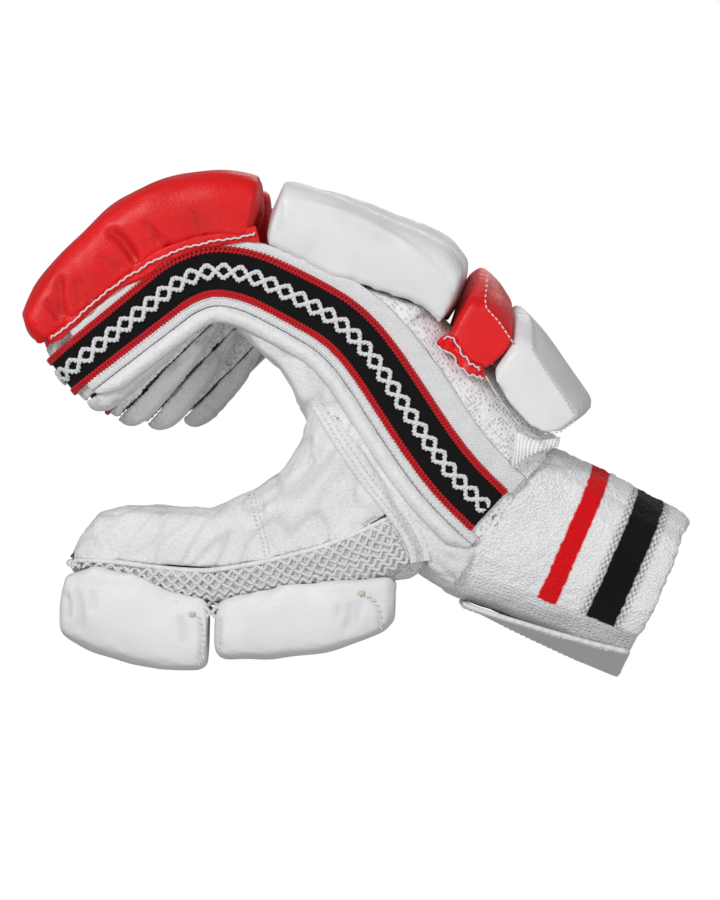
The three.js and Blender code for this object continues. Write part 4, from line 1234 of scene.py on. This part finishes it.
def strip(name, track, side, ends, low, high, out, columns, rows, material, slot, *nodes, thick=0.6):
    """A band of cloth along the side of a finger and the hand, between two distances along the line and
    the heights low(s) and high(s). out(s, v) is how far it stands out."""
    def height(s, v):
        return low(s) + (high(s) - low(s)) * v

    def place(u, v):
        s = ends[0] + (ends[1] - ends[0]) * u
        return track.side(s, height(s, v), out(s, v), side)

    piece = grid(name, columns, rows, place)
    s = ends[0] + (ends[1] - ends[0]) * np.tile(shares(columns), rows + 1)
    path_uv(piece, s, height(s, np.repeat(shares(rows), columns + 1)))
    face_side(piece, side)
    apply(piece, "SOLIDIFY", thickness=thick * MM, offset=-1)
    smooth_shade(piece)
    finish(piece, material, slot, *nodes)


def half_tape(s):
    """Half of the tape's width, which narrows along the finger."""
    return np.interp(s, (60, 110, 150, 215), (9.2, 8.8, 8.3, 7.2))


def bulge(v):
    return np.sin(np.pi * np.clip(v, 0, 1)).clip(0) ** 0.6


def side_stitch(track, side, s, n, n_ahead, out, n_out):
    """Where a stitch on a finger's side goes, and how it is turned towards a place just ahead."""
    place = track.side(s, n, out, side)
    ahead = track.side(s + 0.6, n_ahead, out, side) - place
    return turned(ahead, track.side(s, n, n_out, side) - place), place


CHAIN_PITCH = 12.2
CHAIN_SWAY = 2.5
CHAIN_TURN = 0.93
TWIST_PITCH = 2.4
EDGE_PITCH = 1.35


def tape(name, track, side):
    """The woven tape, run on round the finger's end, with its white chain and its red looped edges."""
    to_s = track.end + 24
    strip(name + "_tape_web", track, side, (TAPE_START, to_s), lambda s: -half_tape(s), half_tape,
          lambda s, v: 0.9, 300, 10, web, "tape", name + "_tape")
    length = to_s - TAPE_START
    # The white chain: two cords that cross, each of two threads twisted together
    for cord in (0, 1):
        for ply in (0, 1):
            def centre(t):
                s = TAPE_START + 1 + (length - 2) * t
                turn = 2 * math.pi * s / CHAIN_PITCH + math.pi * cord
                sway = CHAIN_SWAY * np.arcsin(CHAIN_TURN * np.sin(turn)) / math.asin(CHAIN_TURN)
                twist = 2 * math.pi * s / TWIST_PITCH + math.pi * ply
                out = 1.75 + 0.28 * np.sin(twist) + 0.25 * np.cos(turn * 2)
                return track.side(s + 0.25 * np.sin(twist), sway + 0.62 * np.cos(twist), out, side)

            piece = tube(f"{name}_chain_{cord}_{ply}", centre, 0.52, int(length * THREAD_COLUMNS), 6)
            finish(piece, white_thread, "knit")
    # The red edges: two rows of slanted stitches each
    for edge, end in ((-1, "low"), (1, "high")):
        moves = []
        for row in (-1, 1):
            for s in np.arange(TAPE_START + 0.5, to_s, EDGE_PITCH):
                n = edge * (half_tape(s) - 0.1) + row * 0.62
                moves.append(side_stitch(track, side, s, n, n + row * 0.5, 1.15, 2.2))
        finish(many(f"{name}_tape_edge_{end}", stitch(2.0, 0.62, 6), moves), red_thread, "tape")


HEM_TOP = 0.6
HEM_FOOT = 4.4
ROLL_TOP = 4.2
ROLL_FOOT = 4.6
ROLL_WIDTH = 6.2


def beside_tape(name, track, side):
    """The knitted hem and the soft roll below a long tape, and the ribbed band above it."""
    start, stop = 2, track.end + 6

    def hem_high(s):
        return -half_tape(s) - HEM_TOP

    def taper(s):
        return np.clip((s - start + 1) / 8, 0.05, 1) ** 0.6 * np.clip((stop - s + 1) / 10, 0.05, 1) ** 0.6

    def ripple(s, v, across, size, seed):
        return waves(np.stack([s, across * v], 1), size, seed)

    strip(name + "_tape_hem", track, side, (start, stop), lambda s: -half_tape(s) - HEM_FOOT, hem_high,
          lambda s, v: 1.1 + 0.5 * bulge(v) + 0.12 * ripple(s, v, 5, 6, 121), 260, 6, knit, "knit")
    strip(name + "_roll", track, side, (start, stop),
          lambda s: -half_tape(s) - ROLL_FOOT - ROLL_WIDTH * taper(s), lambda s: -half_tape(s) - ROLL_TOP,
          lambda s, v: -0.4 + 3.3 * bulge(v) * taper(s) + 0.2 * ripple(s, v, 8, 9, 122),
          260, 12, soft_cloth, "leather", name + "_side_roll", thick=0.8)
    for row, aside in enumerate((-0.9, -3.4)):
        moves = [side_stitch(track, side, s, hem_high(s) + aside, hem_high(s + 0.6) + aside, 1.75, 3)
                 for s in np.arange(start + 2, stop - 4, 1.9)]
        finish(many(f"{name}_hem_stitches_{row}", stitch(1.4, 0.3, 5), moves), white_thread, "knit")
    # The band gives way to the open mesh at the hand, and to the raw edge under the tip pad
    strip(name + "_rib_band", track, side, (4, track.end - 1), lambda s: half_tape(s) + 0.5,
          lambda s: np.interp(s, (0, 60, 95, 125, 150, 210), (18.5, 19, 16.5, 13.6, 12.4, 12.2)),
          lambda s, v: 0.3 + 0.9 * bulge(v) + 0.15 * ripple(s, v, 9, 8, 123),
          280, 10, knit, "knit", thick=0.9)


tape("index", index, -1)
tape("little", little, 1)
beside_tape("index", index, -1)
beside_tape("little", little, 1)
for name in ("middle", "ring"):
    track = tracks[name]
    ends = (track.end + 0.5, track.end + 34)
    strip(name + "_end_web", track, -1, ends, lambda s: -8.2, lambda s: 8.2, lambda s, v: 0.9, 40, 10, web,
          "tape", name + "_tape")
    for edge, end in ((-1, "low"), (1, "high")):
        strip(f"{name}_end_edge_{end}", track, -1, ends,
              lambda s: edge * 8.6 - 0.9, lambda s: edge * 8.6 + 0.9,
              lambda s, v: 1.1 + 0.4 * np.sin(math.pi * v), 40, 4, red_thread, "tape")


# Raw edges, loose threads and gathers

SIDE_Y = SHIFT[1] - HALF_HAND - GAP


def ribbon(name, high, low, out, columns, rows, material, slot, thick):
    """A strip between two side-view lines. out(u, v, flat) is how far past the hand's side it is."""
    upper, lower = curve(high, 0.02), curve(low, 0.02)

    def place(u, v):
        flat = upper(u) * (1 - v)[:, None] + lower(u) * v[:, None]
        return np.stack([flat[:, 0], SIDE_Y - out(u, v, flat), flat[:, 1]], 1)

    piece = grid(name, columns, rows, place)
    face_side(piece, -1)
    apply(piece, "SOLIDIFY", thickness=thick * MM, offset=-1)
    shade_map(piece)
    smooth_shade(piece)
    finish(piece, material, slot)


def thread_through(name, points, radius, material):
    """A loose thread through places."""
    line = curve(points, 0.02)
    finish(tube(name, line, radius, int(line.length * THREAD_COLUMNS), 5), material, "knit")


RAW_EDGE = ((-117.3, 124.6), (-113.9, 126.2), (-107.4, 131.4), (-98.3, 140.7), (-91.3, 146.0), (-84.7, 150.7),
            (-74.8, 156.6), (-67.3, 159.7), (-61.0, 161.7), (-52.4, 163.3), (-45.7, 164.5), (-40.1, 166.2))
random = np.random.default_rng(130)
flaps = 1.9 + 0.5 * random.normal(size=12).clip(-1, 1)
flaps[[5, 11]] += 1.3
raw_low = shifted(RAW_EDGE, flaps + 1.6)
ribbon("tip_raw_edge", shifted(RAW_EDGE, -1.5), raw_low,
       lambda u, v, flat: 1.9 + 0.5 * waves(flat, 5, 131) * v, 150, 5, red_pad, "red_pad", 0.6)
zig_lines = curve(shifted(RAW_EDGE, 2.6)), curve(shifted(RAW_EDGE, 0.5))
zigzag = []
for i, share in enumerate(np.linspace(0.01, 0.99, 58)):
    x, z = zig_lines[i % 2](share)
    zigzag.append((x + random.uniform(-0.5, 0.5), SIDE_Y - 3.1 + random.uniform(-0.3, 0.3),
                   z + random.uniform(-0.4, 0.4)))
thread_through("tip_edge_zigzag", zigzag, 0.36, white_thread)

TAB_HIGH = ((30.0, 128.6), (32.6, 129.8), (35.6, 128.4), (38.4, 123.2), (41.9, 119.6), (45.8, 117.4))
TAB_LOW = ((27.8, 126.3), (30.2, 123.2), (34.0, 122.5), (35.8, 118.4), (40.0, 114.8), (46.6, 113.4))
ribbon("bar_tab", TAB_HIGH, TAB_LOW,
       lambda u, v, flat: 2.0 + 1.0 * np.sin(9 * u + 2 * v) * v + 0.6 * waves(flat, 4, 132),
       48, 8, red_pad, "red_pad", 0.7)
for row, (line, out) in enumerate(((TAB_LOW, 3.6), (shifted(TAB_HIGH, 1.2), 3.2))):
    wave = [(x + 0.5 * math.sin(5 * i), SIDE_Y - out - 0.5 * math.cos(4 * i), z + 0.6 * math.sin(3 * i + 1))
            for i, (x, z) in enumerate(curve(line)(shares(21)))]
    thread_through(f"bar_tab_thread_{row}", wave, 0.34, white_thread)

BACK_THREAD = ((46.6, 114.4), (49.0, 110.8), (51.7, 106.7), (55.3, 102.0), (58.4, 98.0), (62.3, 94.0),
               (68.4, 91.4))
loose = [(x, SIDE_Y - 2.2 - 0.8 * math.sin(1.3 * i), z)
         for i, (x, z) in enumerate(curve(BACK_THREAD)(shares(23)))]
thread_through("back_pad_thread", loose, 0.42, waxed_thread)


def gathered(u, v, flat):
    """Eleven soft pleats, deeper towards their foot."""
    pleat = np.sin(2 * math.pi * u * 11 + 1.5 * waves(flat, 9, 134))
    return 0.2 + 0.5 * pleat * (0.3 + v) + 0.4 * waves(flat, 6, 133) - 4 * u ** 2


ribbon("wrist_gathers", ((58.3, 94.3), (63.9, 92.0), (68.4, 90.8), (75.4, 92.4)),
       ((57.8, 80.4), (62.2, 84.0), (67.3, 86.8), (74.0, 89.0)), gathered, 110, 10, open_mesh, "knit", 0.8)


def cover_face(*names):
    return surface_of(*(bpy.data.objects[name + "_cover"] for name in names))


bar_face, back_face = cover_face("knuckle_bar"), cover_face("back_pad")
thumb_pads_face = cover_face("thumb_tip_pad", "thumb_base_pad", "index_pad")
BACK_END = ((80.4, 98.6), (75.0, 94.4), (69.0, 93.6))
for name, face, line, pitch, length in (
    ("bar_ridge", bar_face, BAR_RIDGE[1:], 2.0, 1.5),
    ("back_ridge", back_face, BACK_RIDGE[2:], 1.7, 1.3),
    ("back_end", back_face, BACK_END, 1.9, 1.4),
):
    stitches_on(name + "_stitches", face, line, pitch, length, 0.3, 0.05, "white_pad")
for name, line in (("tip_end", TIP_END_SEAM), ("base_start", BASE_START_SEAM), ("base_end", BASE_END_SEAM)):
    stitches_on(f"thumb_{name}_stitches", thumb_pads_face, line, 2.2, 1.9, 0.36, 0.25, "white_pad", slant=0.7)
for name, x, z in (("tip", -60.0, 22.0), ("base", 3.0, 32.0)):
    level = draped(thumb_pads_face, [(x, z - 1.5)], 0.3)[0][1]
    knot = [(x + 1.3 * math.cos(2.1 * i), level - 0.5 * math.sin(1.3 * i), z + 0.9 * math.sin(2.7 * i))
            for i in range(16)]
    thread_through(f"thumb_{name}_knot", knot, 0.4, waxed_thread)


# The light and the camera

# Name, place, aim, size and power
LAMPS = (
    ("key", (-0.9, -1.7, 1.0), (0, 0, 0.08), 0.7, 22),
    ("fill", (1.3, -1.7, 0.3), (0, 0, 0.08), 1.0, 8),
    ("back", (0.5, 1.9, 1.3), (0, 0, 0.08), 1.2, 8),
    ("low", (-0.3, -1.8, -0.7), (0, 0, 0.05), 0.9, 5),
)
SEEN_LIGHT, CAST_LIGHT = 1.0, 0.3
# The photograph's view: how far down it looks and how far it leans, in degrees, its aim and its distance
LOOK_DOWN = 0.5
LEAN = 1.82
AIM = (-2.8 + SHIFT[0], -30, 85.2)
AWAY = 1.88


def lamp(name, place, aim, size, power):
    light = bpy.data.lights.new(name, "AREA")
    light.shape = "DISK"
    light.size = size
    light.energy = power
    lamp_object = bpy.data.objects.new(name, light)
    bpy.context.scene.collection.objects.link(lamp_object)
    lamp_object.location = place
    lamp_object.rotation_euler = (Vector(aim) - Vector(place)).to_track_quat("-Z", "Y").to_euler()


def camera():
    data = bpy.data.cameras.new("camera")
    data.lens = 200
    data.sensor_width = 36
    data.clip_end = 20
    camera_object = bpy.data.objects.new("camera", data)
    bpy.context.scene.collection.objects.link(camera_object)
    above, roll = math.radians(LOOK_DOWN), math.radians(LEAN)
    forward = Vector((0, math.cos(above), -math.sin(above)))
    right = Vector((1, 0, 0))
    up = right.cross(forward)
    turned_right = right * math.cos(roll) + up * math.sin(roll)
    turned_up = up * math.cos(roll) - right * math.sin(roll)
    matrix = Matrix((turned_right, turned_up, -forward)).transposed().to_4x4()
    matrix.translation = Vector(AIM) * MM - forward * AWAY
    camera_object.matrix_world = matrix
    bpy.context.scene.camera = camera_object


def studio_air():
    """A white world to look at, which lights the glove more softly than it looks."""
    world = bpy.data.worlds.new("studio")
    world.use_nodes = True
    nodes, links = world.node_tree.nodes, world.node_tree.links
    seen = nodes.new("ShaderNodeLightPath")
    strength = nodes.new("ShaderNodeMapRange")
    links.new(seen.outputs["Is Camera Ray"], strength.inputs["Value"])
    strength.inputs["To Min"].default_value = CAST_LIGHT
    strength.inputs["To Max"].default_value = SEEN_LIGHT
    links.new(strength.outputs["Result"], nodes["Background"].inputs["Strength"])
    nodes["Background"].inputs["Color"].default_value = (1, 1, 1, 1)
    bpy.context.scene.world = world


studio_air()
for row in LAMPS:
    lamp(*row)
bpy.context.scene.view_settings.view_transform = "Standard"
camera()
